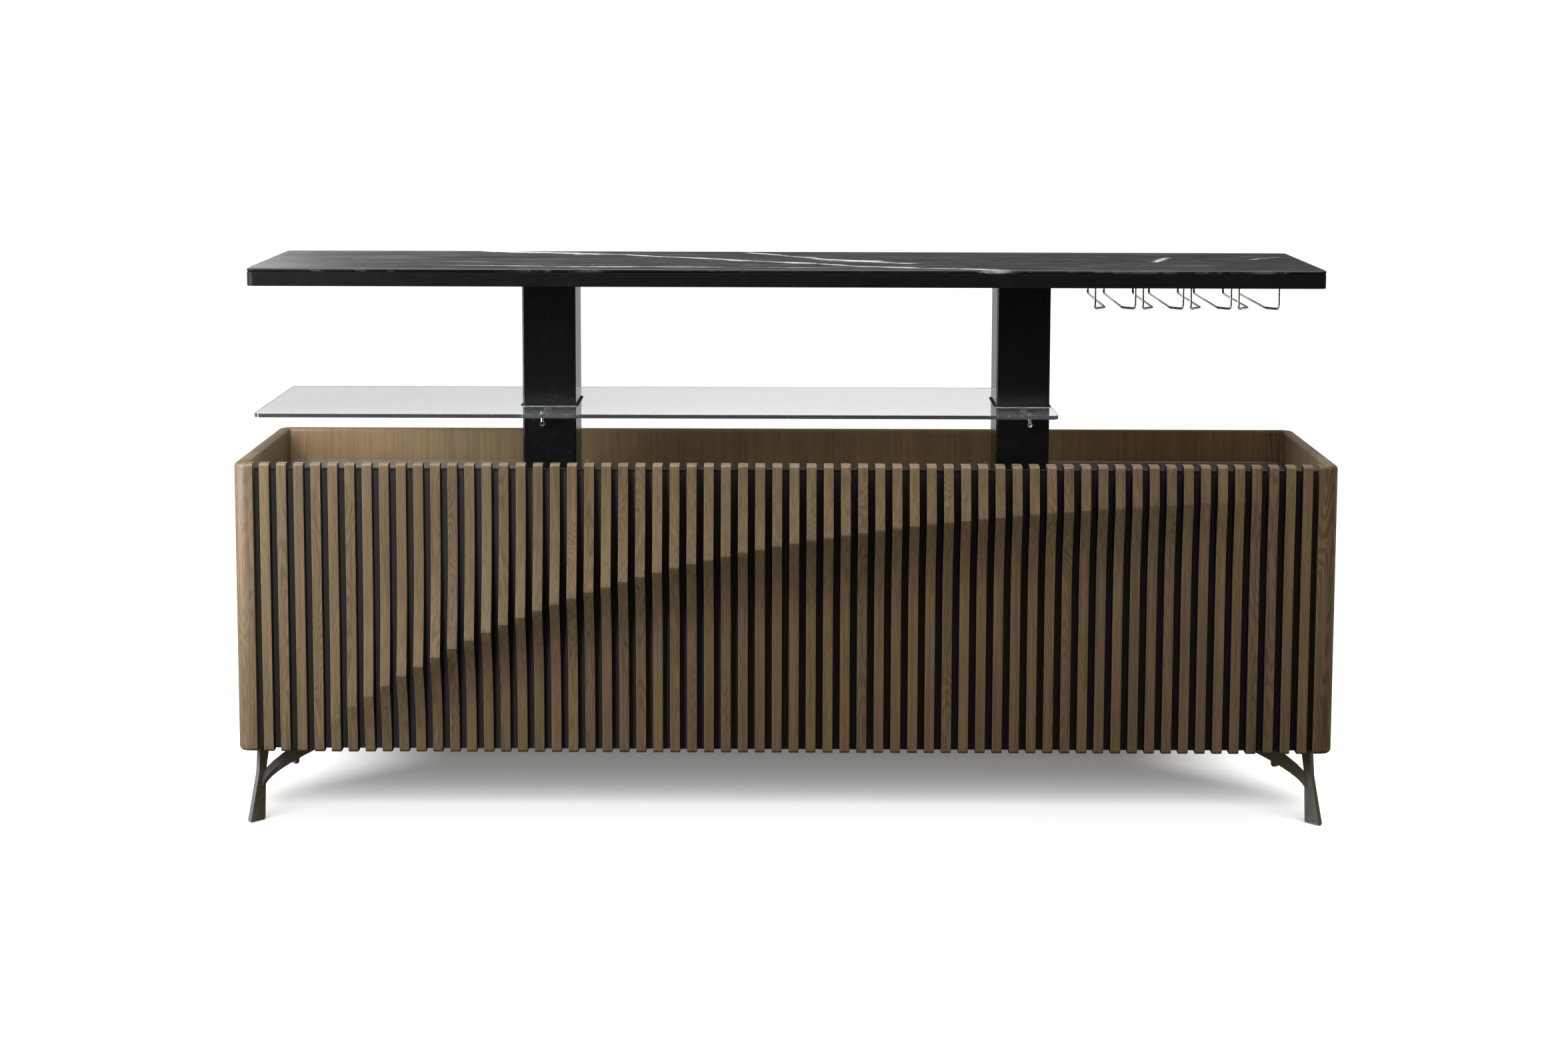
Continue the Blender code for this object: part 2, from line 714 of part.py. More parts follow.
def masts(side_name, side):
    """The fixed lower tube of a column, welded to its base plate."""
    outer = -(SLEEVE_WALL + MAST_PLAY)
    rings = [around_column(side, outer), around_column(side, outer - MAST_WALL)]
    name = f"lift_mast_{side_name}"
    mesh = extruded_mesh(name, rings, MAST_FLOOR - OVERRUN, MAST_TOP)
    mast = add_part(name, mesh, "bare_steel")
    low = (
        column_x(side) - MAST_WIDTH / 2 - MAST_BASE_MARGIN,
        COLUMN_Y - MAST_DEPTH / 2 - MAST_BASE_MARGIN,
        FLOOR_TOP + SEAT,
    )
    high = (
        column_x(side) + MAST_WIDTH / 2 + MAST_BASE_MARGIN,
        COLUMN_Y + MAST_DEPTH / 2 + MAST_BASE_MARGIN,
        MAST_FLOOR,
    )
    combine(mast, "UNION", add_cutter(f"mast_base_{side_name}", box_mesh("base", low, high)))
    shape = bmesh.new()
    bmesh.ops.create_cone(
        shape,
        cap_ends=True,
        segments=ROUND_SIDES,
        radius1=LEAD_HOLE_RADIUS,
        radius2=LEAD_HOLE_RADIUS,
        depth=4 * MAST_WALL,
        matrix=Matrix.Rotation(math.pi / 2, 4, "Y"),
    )
    wall_x = column_x(side) - side * (MAST_WIDTH - MAST_WALL) / 2
    bmesh.ops.translate(shape, vec=(wall_x, lead_y(), lead_z()), verts=shape.verts)
    hole = add_cutter(f"lead_hole_{side_name}", mesh_of(shape, "lead_hole"))
    combine(mast, "DIFFERENCE", hole)
    smooth(mast)


def glide_rings(side_name, side, lift):
    """Nylon rings between the tubes: one fixed round the mast's head, one in the sleeve's foot."""
    inner = -(SLEEVE_WALL + MAST_PLAY - SEAT)
    outer = -(SLEEVE_WALL + SEAT)
    rings = [around_column(side, outer), around_column(side, inner)]
    name = f"mast_slider_{side_name}"
    mesh = extruded_mesh(name, rings, MAST_TOP - SLIDER_HEIGHT, MAST_TOP)
    add_part(name, mesh, "nylon")
    name = f"sleeve_glide_{side_name}"
    mesh = extruded_mesh(name, rings, SLEEVE_BOTTOM, SLEEVE_BOTTOM + GLIDE_RING_HEIGHT)
    add_part(name, mesh, "nylon", lift)


def sleeve(side_name, side, lift):
    name = f"column_sleeve_{side_name}"
    rings = [around_column(side, 0.0), around_column(side, -SLEEVE_WALL)]
    mesh = extruded_mesh(name, rings, SLEEVE_BOTTOM, SLEEVE_TOP)
    smooth(add_part(name, mesh, "black_paint", lift))
    name = f"column_cap_{side_name}"
    mesh = extruded_mesh(name, [around_column(side, 0.0)], CAP_BOTTOM, BOARD_BOTTOM - SEAT)
    smooth(add_part(name, mesh, "black_paint", lift))


def drive(side_name, side, lift):
    """A linear drive: the housing with gearbox, motor and guide tube, and the rod that it lifts."""
    x = column_x(side)
    axis = (x, COLUMN_Y + DRIVE_AXIS_OFFSET)
    low = (x - GEARBOX_WIDTH / 2, COLUMN_Y - GEARBOX_DEPTH / 2, MAST_FLOOR + SEAT)
    high = (x + GEARBOX_WIDTH / 2, COLUMN_Y + GEARBOX_DEPTH / 2, gearbox_top())
    name = f"drive_housing_{side_name}"
    housing = add_part(name, box_mesh(name, low, high, HOUSING_ROUNDING), "bare_steel")
    tube = cylinder_mesh(
        "tube", axis, TUBE_RADIUS, gearbox_top() - HOUSING_ROUNDING, MAST_TOP - TUBE_HEADROOM
    )
    motor = cylinder_mesh(
        "motor",
        (x, COLUMN_Y + MOTOR_OFFSET),
        MOTOR_RADIUS,
        gearbox_top() - HOUSING_ROUNDING,
        gearbox_top() + MOTOR_LENGTH,
    )
    bore = cylinder_mesh(
        "bore", axis, ROD_RADIUS + SEAT, MAST_FLOOR + BORE_FLOOR, MAST_TOP + TUBE_HEADROOM
    )
    combine(housing, "UNION", add_cutter(f"guide_tube_{side_name}", tube))
    combine(housing, "UNION", add_cutter(f"motor_{side_name}", motor))
    combine(housing, "DIFFERENCE", add_cutter(f"rod_bore_{side_name}", bore))
    smooth(housing)
    name = f"drive_rod_{side_name}"
    rod = cylinder_mesh(name, axis, ROD_RADIUS, SLEEVE_TOP - ROD_LENGTH, SLEEVE_TOP)
    smooth(add_part(name, rod, "bare_steel", lift))


def gearbox_top():
    return MAST_FLOOR + SEAT + GEARBOX_HEIGHT


def inlet_bottom():
    return FLOOR_TOP + SEAT + (CONTROL_HEIGHT - INLET_HEIGHT) / 2


def lead_z():
    return MAST_FLOOR + LEAD_ENTRY


def lead_y():
    return COLUMN_Y + MOTOR_OFFSET


def control_box():
    low = (-CONTROL_WIDTH / 2, INNER_REAR_Y - SEAT - CONTROL_DEPTH, FLOOR_TOP + SEAT)
    high = (CONTROL_WIDTH / 2, INNER_REAR_Y - SEAT, FLOOR_TOP + SEAT + CONTROL_HEIGHT)
    box = box_mesh("control_box", low, high, HOUSING_ROUNDING)
    add_part("control_box", box, "black_plastic")


def power_inlet():
    """The inlet fills its hole in the rear panel, open to the back, flush with the wood."""
    low = (-INLET_WIDTH / 2, INNER_REAR_Y, inlet_bottom())
    high = (INLET_WIDTH / 2, REAR_Y, inlet_bottom() + INLET_HEIGHT)
    inlet = add_part("power_inlet", box_mesh("power_inlet", low, high), "black_plastic")
    low = (low[0] + INLET_RIM, REAR_Y - INLET_RECESS, low[2] + INLET_RIM)
    high = (high[0] - INLET_RIM, REAR_Y + INLET_RIM, high[2] - INLET_RIM)
    recess = add_cutter("inlet_recess", box_mesh("inlet_recess", low, high))
    combine(inlet, "DIFFERENCE", recess)


def motor_lead(side_name, side):
    """A lead from the control box along the floor and through the mast's wall to the motor."""
    start = Vector(
        (
            CONTROL_WIDTH / 2 + SEAT,
            INNER_REAR_Y - SEAT - CONTROL_DEPTH / 2,
            FLOOR_TOP + CONTROL_HEIGHT / 2,
        )
    )
    end = Vector((COLUMN_SPACING / 2 - GEARBOX_WIDTH / 2 - SEAT, lead_y(), lead_z()))
    on_floor = FLOOR_TOP + SEAT + LEAD_RADIUS
    name = f"motor_lead_{side_name}"
    curve = bpy.data.curves.new(name, "CURVE")
    curve.dimensions = "3D"
    curve.bevel_depth = LEAD_RADIUS
    curve.bevel_resolution = 2
    curve.use_fill_caps = True
    spline = curve.splines.new("POLY")
    spline.points.add(LEAD_POINTS)
    for i, point in enumerate(spline.points):
        t = i / LEAD_POINTS
        x = start.x + (end.x - start.x) * t
        turn, fall, climb = (
            smoothstep((t - begin) / length)
            for begin, length in (LEAD_TURN, LEAD_FALL, LEAD_CLIMB)
        )
        y = start.y + (end.y - start.y) * turn
        z = start.z + (on_floor - start.z) * fall + (end.z - on_floor) * climb
        point.co = (side * x, y, z, 1.0)
    mesh = mesh_of_curve(curve, name)
    smooth(add_part(name, mesh, "rubber"))


def lifting_top(lift):
    low = (-INNER_SIDE_X + TOP_SIDE_GAP, INNER_FRONT_Y + TOP_FRONT_GAP)
    high = (INNER_SIDE_X - TOP_SIDE_GAP, INNER_REAR_Y - TOP_REAR_GAP)
    outline = rounded_rectangle(low, high, TOP_CORNER_RADIUS, ARC_STEPS)
    board = extruded_mesh("top_board", [outline], BOARD_BOTTOM, STONE_BOTTOM - SEAT)
    add_part("top_board", board, "black_board", lift)
    stone = extruded_mesh("stone_top", [outline], STONE_BOTTOM, TOP_HEIGHT)
    flatten(stone)
    top = add_part("stone_top", stone, "stone", lift)
    rim = top.modifiers.new("edge", "BEVEL")
    rim.width = TOP_EDGE_ROUNDING
    rim.segments = EDGE_STEPS - 1
    rim.limit_method = "ANGLE"
    rim.angle_limit = math.radians(60)
    smooth(top)


def flatten(mesh):
    """Merges each cap's triangles into one face, so that a bevel follows its rim evenly."""
    shape = bmesh.new()
    shape.from_mesh(mesh)
    bmesh.ops.dissolve_limit(
        shape,
        angle_limit=math.radians(0.5),
        verts=shape.verts,
        edges=shape.edges,
    )
    shape.to_mesh(mesh)
    shape.free()


def glass_shelf(name, low_x, high_x, z, sides, lift):
    """A glass plate with a cut-out round each column that it meets, open at a plate's end."""
    outline = rounded_rectangle(
        (low_x, SHELF_FRONT_Y), (high_x, SHELF_REAR_Y), SHELF_CORNER_RADIUS, ARC_STEPS
    )
    mesh = extruded_mesh(name, [outline], z, z + SHELF_THICKNESS)
    shelf = add_part(name, mesh, "clear_glass", lift)
    grow = GASKET_WALL + 2 * SEAT
    for side_name, side in sides:
        x = column_x(side)
        reach = COLUMN_WIDTH / 2 + grow
        low, high = x - reach, x + reach
        if high + SHELF_OVERRUN > high_x:
            high = high_x + SHELF_OVERRUN
        if low - SHELF_OVERRUN < low_x:
            low = low_x - SHELF_OVERRUN
        hole = rounded_rectangle(
            (low, COLUMN_Y - COLUMN_DEPTH / 2 - grow),
            (high, COLUMN_Y + COLUMN_DEPTH / 2 + grow),
            COLUMN_ROUNDING + grow,
        )
        hole_name = f"{name}_hole_{side_name}"
        cutter = extruded_mesh(hole_name, [hole], z - SEAT, z + SHELF_THICKNESS + SEAT)
        combine(shelf, "DIFFERENCE", add_cutter(hole_name, cutter))


def shelf_gasket(name, side, z, lift):
    """A rubber ring that fills the cut-out round a column and stands just proud of the glass."""
    rings = [around_column(side, GASKET_WALL + SEAT), around_column(side, SEAT)]
    mesh = extruded_mesh(name, rings, z, z + SHELF_THICKNESS + GASKET_LIP)
    add_part(name, mesh, "rubber", lift)


def shelf_support(name, side, end, z, lift):
    """A chrome bracket under the glass, with a round stud outward of it."""
    face_y = COLUMN_Y + end * (COLUMN_DEPTH / 2 + SEAT)
    x = column_x(side)
    top = z - SEAT
    depths = sorted((face_y, face_y + end * BRACKET_REACH))
    low = (x - BRACKET_WIDTH / 2, depths[0], top - BRACKET_THICKNESS)
    high = (x + BRACKET_WIDTH / 2, depths[1], top)
    bracket = add_part(name, box_mesh(name, low, high), "chrome", lift)
    stud = cylinder_mesh(
        f"{name}_stud",
        (x + side * STUD_OFFSET, face_y + end * STUD_REACH),
        STUD_RADIUS,
        top - STUD_LENGTH,
        top,
        STUD_SIDES,
        STUD_ROUNDING,
    )
    combine(bracket, "UNION", add_cutter(f"{name}_stud", stud))
    smooth(bracket)


def shelves(lift):
    column_edge = COLUMN_SPACING / 2 + COLUMN_WIDTH / 2
    column_inner = COLUMN_SPACING / 2 - COLUMN_WIDTH / 2
    glass_shelf(
        "glass_shelf_upper",
        -SHELF_SIDE_X,
        column_edge + SHELF_OVERRUN,
        UPPER_SHELF_Z,
        SIDES,
        lift,
    )
    left, right = SIDES
    inner_end = column_inner - SHELF_OVERRUN
    glass_shelf(
        "glass_shelf_lower_left", -SHELF_SIDE_X, -inner_end, LOWER_SHELF_Z, [left], lift
    )
    glass_shelf(
        "glass_shelf_lower_right", inner_end, SHELF_SIDE_X, LOWER_SHELF_Z, [right], lift
    )
    for level, z in (("upper", UPPER_SHELF_Z), ("lower", LOWER_SHELF_Z)):
        for side_name, side in SIDES:
            shelf_gasket(f"shelf_gasket_{level}_{side_name}", side, z, lift)
            for end_name, end in (("front", -1), ("rear", 1)):
                name = f"shelf_support_{level}_{side_name}_{end_name}"
                shelf_support(name, side, end, z, lift)


def rounded_route(points, radius, steps):
    """A route through these points, with each inner corner turned into a small arc."""
    route = [points[0]]
    for before, corner, after in zip(points, points[1:], points[2:]):
        back = (before - corner).normalized()
        ahead = (after - corner).normalized()
        half = back.angle(ahead) / 2
        setback = radius / math.tan(half)
        middle = (back + ahead).normalized() * (radius / math.sin(half))
        start = (back * setback - middle).normalized()
        end = (ahead * setback - middle).normalized()
        for i in range(steps + 1):
            route.append(corner + middle + start.slerp(end, i / steps) * radius)
    route.append(points[-1])
    return route


def glass_rack(number, x, lift):
    """One bent wire: front legs, funnel, two rails, and a bow up to the board at the rear."""
    front = INNER_FRONT_Y + TOP_FRONT_GAP + RACK_FRONT_INSET
    rail_start = front + FUNNEL_DEPTH
    rear = front + RACK_LENGTH
    low = BOARD_BOTTOM - SEAT - WIRE_RADIUS - RACK_DROP
    high = BOARD_BOTTOM - SEAT
    bow = high - WIRE_RADIUS
    half = [
        (RACK_MOUTH / 2, front, high),
        (RACK_MOUTH / 2, front, low),
        (RAIL_SPACING / 2, rail_start, low),
        (RAIL_SPACING / 2, rear, low),
        (RAIL_SPACING / 2, rear, bow),
    ]
    corners = [Vector((x - a, y, z)) for a, y, z in half]
    corners += [Vector((x + a, y, z)) for a, y, z in reversed(half)]
    name = f"glass_rack_{number}"
    wire = bpy.data.curves.new(name, "CURVE")
    wire.dimensions = "3D"
    wire.bevel_depth = WIRE_RADIUS
    wire.bevel_resolution = 2
    wire.use_fill_caps = True
    route = rounded_route(corners, WIRE_BEND, WIRE_STEPS)
    spline = wire.splines.new("POLY")
    spline.points.add(len(route) - 1)
    for point, place in zip(spline.points, route):
        point.co = (*place, 1.0)
    mesh = mesh_of_curve(wire, name)
    smooth(add_part(name, mesh, "chrome", lift), angle=60.0)


def glass_racks(lift):
    first = COLUMN_SPACING / 2 + COLUMN_WIDTH / 2 + RACK_COLUMN_GAP
    for i in range(RACK_COUNT):
        glass_rack(i + 1, first + i * RACK_PITCH, lift)


def main():
    lift = bpy.data.objects.new("top_lift", None)
    PARTS.objects.link(lift)
    side_panels()
    front_posts()
    rear_posts()
    rear_panel()
    floor_panel()
    slat_panels()
    legs()
    control_box()
    power_inlet()
    for side_name, side in SIDES:
        masts(side_name, side)
        glide_rings(side_name, side, lift)
        sleeve(side_name, side, lift)
        drive(side_name, side, lift)
        motor_lead(side_name, side)
    lifting_top(lift)
    shelves(lift)
    glass_racks(lift)


main()
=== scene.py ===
import json
import math

import bmesh
import bpy
from mathutils import Matrix, Vector

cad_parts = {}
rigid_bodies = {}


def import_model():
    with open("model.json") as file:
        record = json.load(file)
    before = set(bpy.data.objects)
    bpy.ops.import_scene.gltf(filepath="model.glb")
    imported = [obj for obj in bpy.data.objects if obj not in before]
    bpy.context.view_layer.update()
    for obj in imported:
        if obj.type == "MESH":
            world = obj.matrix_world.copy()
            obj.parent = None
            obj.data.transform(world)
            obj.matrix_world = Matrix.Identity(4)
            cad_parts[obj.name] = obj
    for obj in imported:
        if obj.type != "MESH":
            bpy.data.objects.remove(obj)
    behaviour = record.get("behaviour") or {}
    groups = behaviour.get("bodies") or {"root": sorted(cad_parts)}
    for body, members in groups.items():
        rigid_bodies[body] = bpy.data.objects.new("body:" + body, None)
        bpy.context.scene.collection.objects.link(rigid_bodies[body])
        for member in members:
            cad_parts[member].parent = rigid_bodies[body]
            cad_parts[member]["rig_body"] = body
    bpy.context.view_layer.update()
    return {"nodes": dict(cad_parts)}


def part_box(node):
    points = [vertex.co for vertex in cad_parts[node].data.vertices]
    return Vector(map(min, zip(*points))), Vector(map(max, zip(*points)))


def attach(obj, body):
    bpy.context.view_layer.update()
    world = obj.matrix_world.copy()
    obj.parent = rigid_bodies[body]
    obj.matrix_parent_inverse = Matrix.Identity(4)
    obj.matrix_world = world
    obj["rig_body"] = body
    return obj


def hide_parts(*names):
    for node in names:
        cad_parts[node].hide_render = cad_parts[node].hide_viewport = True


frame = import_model()

# Camera, fitted to the photograph, with a lens shift small enough for the other views
CAMERA_PLACE = Vector((-0.0008, -5.5684, 1.5729))
CAMERA_PITCH = math.radians(6.464)
CAMERA_YAW = math.radians(-0.041)
CAMERA_ROLL = math.radians(0.163)
CAMERA_LENS = 62.314
CAMERA_SHIFT = -0.11
SENSOR_WIDTH = 36
CLIP_START = 0.05
CLIP_END = 200

# Slatted front, metres
SLAT_COUNT = 62
SLAT_PITCH = 0.034
SLAT_WIDTH = 0.020
SLAT_FRONT = -0.242
SLAT_BACK = -0.2206
SLAT_FOOT = 0.154
SLAT_TOP = 0.740
SLAT_END_ROUNDING = 0.006
SLAT_END_STEPS = 5
SLAT_ARRIS = 0.0016
SLAT_ARRIS_STEPS = 2
SLAT_ARRIS_PROFILE = 0.6
SLAT_ROWS = 64
LEAST_ROWS_BESIDE_CREST = 8
ROW_CROWDING = 1.7
PANEL_SLATS = (16, 15, 15, 16)
BACKING_FRONT = -0.221
BACKING_REAR = -0.208
BACKING_FOOT = 0.157
BACKING_TOP = 0.727
BACKING_EDGE = 0.0003

# Carving on the slats: its start, rise and end are measured from the body's ends
CARVING_START = 0.120
CARVING_RISE = 0.300
CARVING_END = 0.020
CREST_HEIGHT = 0.036
CREST_TOP = 0.696
CREST_DROP = 0.652
CREST_REACH = 0.622
SWELL_ABOVE = 0.260
SWELL_BELOW = 0.160
SWELL_POWER = 2
CREST_ROUNDING = 0.003
CREST_MARGIN = 0.012
HALF_LENGTH = 1.100

# Mesh work
EDGE_ANGLE = math.radians(30)
FLAT_ANGLE = math.radians(0.6)
MERGE_DISTANCE = 0.00002
SAME_PLACE = 1e-5
ROW_TOLERANCE = 1e-4
SMOOTH_BELOW = 35
SLAT_SMOOTH_BELOW = 32
TURNED_SMOOTH_BELOW = 40
WIRE_SMOOTH_BELOW = 60
WIRE_BEND_STEPS = 6
ROUND_WIRE_STEPS = 4


def clear_selection():
    if bpy.context.object and bpy.context.object.mode != "OBJECT":
        bpy.ops.object.mode_set(mode="OBJECT")
    bpy.ops.object.select_all(action="DESELECT")


def take(piece):
    clear_selection()
    piece.select_set(True)
    bpy.context.view_layer.objects.active = piece


def settle(piece):
    take(piece)
    bpy.ops.object.transform_apply(location=True, rotation=True, scale=True)


def open_mesh(piece):
    take(piece)
    bpy.ops.object.mode_set(mode="EDIT")
    bpy.ops.mesh.select_all(action="DESELECT")


def close_mesh():
    bpy.ops.object.mode_set(mode="OBJECT")


def pick_faces(piece, test):
    """Selects the faces whose direction passes the test."""
    bpy.ops.mesh.select_mode(type="FACE")
    bpy.ops.mesh.select_all(action="DESELECT")
    shape = bmesh.from_edit_mesh(piece.data)
    for face in shape.faces:
        face.select_set(test(face.normal))
    bmesh.update_edit_mesh(piece.data)


def pick_edges(piece, test):
    """Selects the edges whose two ends pass the test."""
    bpy.ops.mesh.select_mode(type="EDGE")
    bpy.ops.mesh.select_all(action="DESELECT")
    shape = bmesh.from_edit_mesh(piece.data)
    for edge in shape.edges:
        edge.select_set(test(edge.verts[0].co, edge.verts[1].co))
    bmesh.update_edit_mesh(piece.data)


def add_block(name, low, high):
    clear_selection()
    low, high = Vector(low), Vector(high)
    bpy.ops.mesh.primitive_cube_add(size=1, location=(low + high) / 2, scale=high - low)
    piece = bpy.context.object
    piece.name = name
    settle(piece)
    return piece


def add_rod(name, centre, radius, length, sides=32, along_y=False):
    clear_selection()
    turn = (math.pi / 2 if along_y else 0, 0, 0)
    bpy.ops.mesh.primitive_cylinder_add(
        vertices=sides, radius=radius, depth=length, location=centre, rotation=turn
    )
    piece = bpy.context.object
    piece.name = name
    settle(piece)
    return piece


def round_edges(piece, width, segments=2):
    take(piece)
    rounding = piece.modifiers.new("edge rounding", "BEVEL")
    rounding.width = width
    rounding.segments = segments
    rounding.limit_method = "ANGLE"
    rounding.angle_limit = EDGE_ANGLE
    rounding.miter_outer = "MITER_ARC"
    bpy.ops.object.modifier_apply(modifier=rounding.name)


def soften(piece, angle=SMOOTH_BELOW):
    """Smooth shading over rounded edges, with flat faces left truly flat."""
    take(piece)
    bpy.ops.object.shade_smooth_by_angle(angle=math.radians(angle))
    even = piece.modifiers.new("even shading", "WEIGHTED_NORMAL")
    even.mode = "FACE_AREA"
    even.weight = 100
    even.keep_sharp = True
    bpy.ops.object.modifier_apply(modifier=even.name)


def merged_copy(cad_node, name):
    """A copy of a CAD node's mesh with its loose triangles joined and flat faces made whole."""
    piece = bpy.data.objects.new(name, frame["nodes"][cad_node].data.copy())
    bpy.context.scene.collection.objects.link(piece)
    piece.data.materials.clear()
    open_mesh(piece)
    bpy.ops.mesh.select_all(action="SELECT")
    bpy.ops.mesh.remove_doubles(threshold=MERGE_DISTANCE)
    bpy.ops.mesh.dissolve_limited(angle_limit=FLAT_ANGLE)
    bpy.ops.mesh.normals_make_consistent(inside=False)
    close_mesh()
    return piece


def copy_of(piece, name, shift=(0, 0, 0)):
    twin = bpy.data.objects.new(name, piece.data.copy())
    bpy.context.scene.collection.objects.link(twin)
    twin.data.transform(Matrix.Translation(shift))
    return twin


def join(name, parts):
    clear_selection()
    for part in parts:
        part.select_set(True)
    bpy.context.view_layer.objects.active = parts[0]
    bpy.ops.object.join()
    parts[0].name = name
    return parts[0]


def place(piece, material, slot, body, *nodes):
    """Gives a finished piece its finish and the body it rides on, and hides the CAD nodes it stands
    for.
    """
    piece.data.materials.clear()
    piece.data.materials.append(material)
    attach(piece, body)
    if nodes:
        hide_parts(*nodes)


# Shader node helpers

NODES_IN_ROW = 12
NODE_STEP = (220, -260)
UNTINTED = (1, 1, 1, 1)


def node(tree, kind, inputs=None, **settings):
    """Adds a node, sets its options, and fills or links its sockets."""
    made = tree.nodes.new(kind)
    row, column = divmod(len(tree.nodes), NODES_IN_ROW)
    made.location = (NODE_STEP[0] * column, NODE_STEP[1] * row)
    for key, value in settings.items():
        setattr(made, key, value)
    for key, value in (inputs or {}).items():
        if isinstance(value, bpy.types.NodeSocket):
            tree.links.new(value, made.inputs[key])
        else:
            made.inputs[key].default_value = value
    return made


def maths(tree, operation, a, b=0.0, c=0.0, clamp=False):
    made = node(tree, "ShaderNodeMath", {0: a, 1: b, 2: c}, operation=operation)
    made.use_clamp = clamp
    return made.outputs[0]


def blend_colour(tree, factor, a, b, mode="MIX"):
    inputs = {0: factor, 6: a, 7: b}
    made = node(tree, "ShaderNodeMix", inputs, data_type="RGBA", blend_type=mode)
    return made.outputs[2]


def ease(tree, value, low, high, to_low=0.0, to_high=1.0):
    """Leads smoothly from to_low, where the value is low, over to to_high, where it is high."""
    inputs = {0: value, 1: low, 2: high, 3: to_low, 4: to_high}
    made = node(tree, "ShaderNodeMapRange", inputs, interpolation_type="SMOOTHSTEP")
    return made.outputs[0]


def noise(tree, vector, scale, detail=2.0, roughness=0.5, output=0):
    inputs = {"Vector": vector, "Scale": scale, "Detail": detail, "Roughness": roughness}
    return node(tree, "ShaderNodeTexNoise", inputs).outputs[output]


def stretch(tree, vector, scale):
    return node(tree, "ShaderNodeMapping", {"Vector": vector, "Scale": scale}).outputs[0]


def split(tree, vector):
    return node(tree, "ShaderNodeSeparateXYZ", {0: vector}).outputs


def grey(tree, value):
    return node(tree, "ShaderNodeCombineXYZ", {0: value, 1: value, 2: value}).outputs[0]


def vector_maths(tree, operation, *inputs):
    inputs = dict(enumerate(inputs))
    return node(tree, "ShaderNodeVectorMath", inputs, operation=operation).outputs


def surface_normal(tree):
    return split(tree, node(tree, "ShaderNodeNewGeometry").outputs["Normal"])


def shaded(colour, share):
    return tuple(share * part for part in colour[:3]) + (1,)


def new_group(name, inputs, outputs):
    tree = bpy.data.node_groups.new(name, "ShaderNodeTree")
    kinds = {"vector": "NodeSocketVector", "colour": "NodeSocketColor", "value": "NodeSocketFloat"}
    for label, kind, default in inputs:
        socket = tree.interface.new_socket(label, in_out="INPUT", socket_type=kinds[kind])
        if default is not None:
            socket.default_value = default
    for label, kind in outputs:
        tree.interface.new_socket(label, in_out="OUTPUT", socket_type=kinds[kind])
    source = tree.nodes.new("NodeGroupInput")
    target = tree.nodes.new("NodeGroupOutput")
    return tree, source.outputs, target.inputs


def use_group(tree, group, inputs):
    return node(tree, "ShaderNodeGroup", inputs, node_tree=group).outputs


def new_material(name, **constants):
    material = bpy.data.materials.new(name)
    material.use_nodes = True
    tree = material.node_tree
    shader = tree.nodes["Principled BSDF"]
    for key, value in constants.items():
        shader.inputs[key.replace("_", " ")].default_value = value
    coordinates = node(tree, "ShaderNodeTexCoord").outputs["Object"]
    return material, tree, shader, coordinates


def relief_of_height(tree, shader, height, strength, distance):
    inputs = {"Height": height, "Strength": strength, "Distance": distance}
    bump = node(tree, "ShaderNodeBump", inputs)
    tree.links.new(bump.outputs["Normal"], shader.inputs["Normal"])


# Shared effects

# Noises of the oak: share of their size that is left along Z, scale, detail, roughness
OAK_FIELD = (0.14, 20.0, 1.5, 0.45)
OAK_STREAKS = (0.018, 170.0, 3.0, 0.6)
OAK_FIBRES = (0.03, 900.0, 2.0, 0.6)
OAK_CLOUDS = (0.2, 12.0, 2.0, 0.5)
OAK_PORES = (0.035, 1500.0, 1.0, 0.5)
OAK_RINGS = 150.0
OAK_FIGURE = (0.12, 0.48)
OAK_STREAK_SHARE = 0.46
OAK_FIBRE_SHARE = 0.26
OAK_PORE_SHARE = 0.35
OAK_CLOUD_TONES = (0.93, 1.07)
OAK_ROUGHNESS = (0.16, 0.44)
OAK_PORE_HEIGHT = -0.7
OAK_RING_HEIGHT = -0.15
OAK_FIBRE_HEIGHT = 0.5
BOARD_OFFSET = (7.0, 7.0, 7.0)


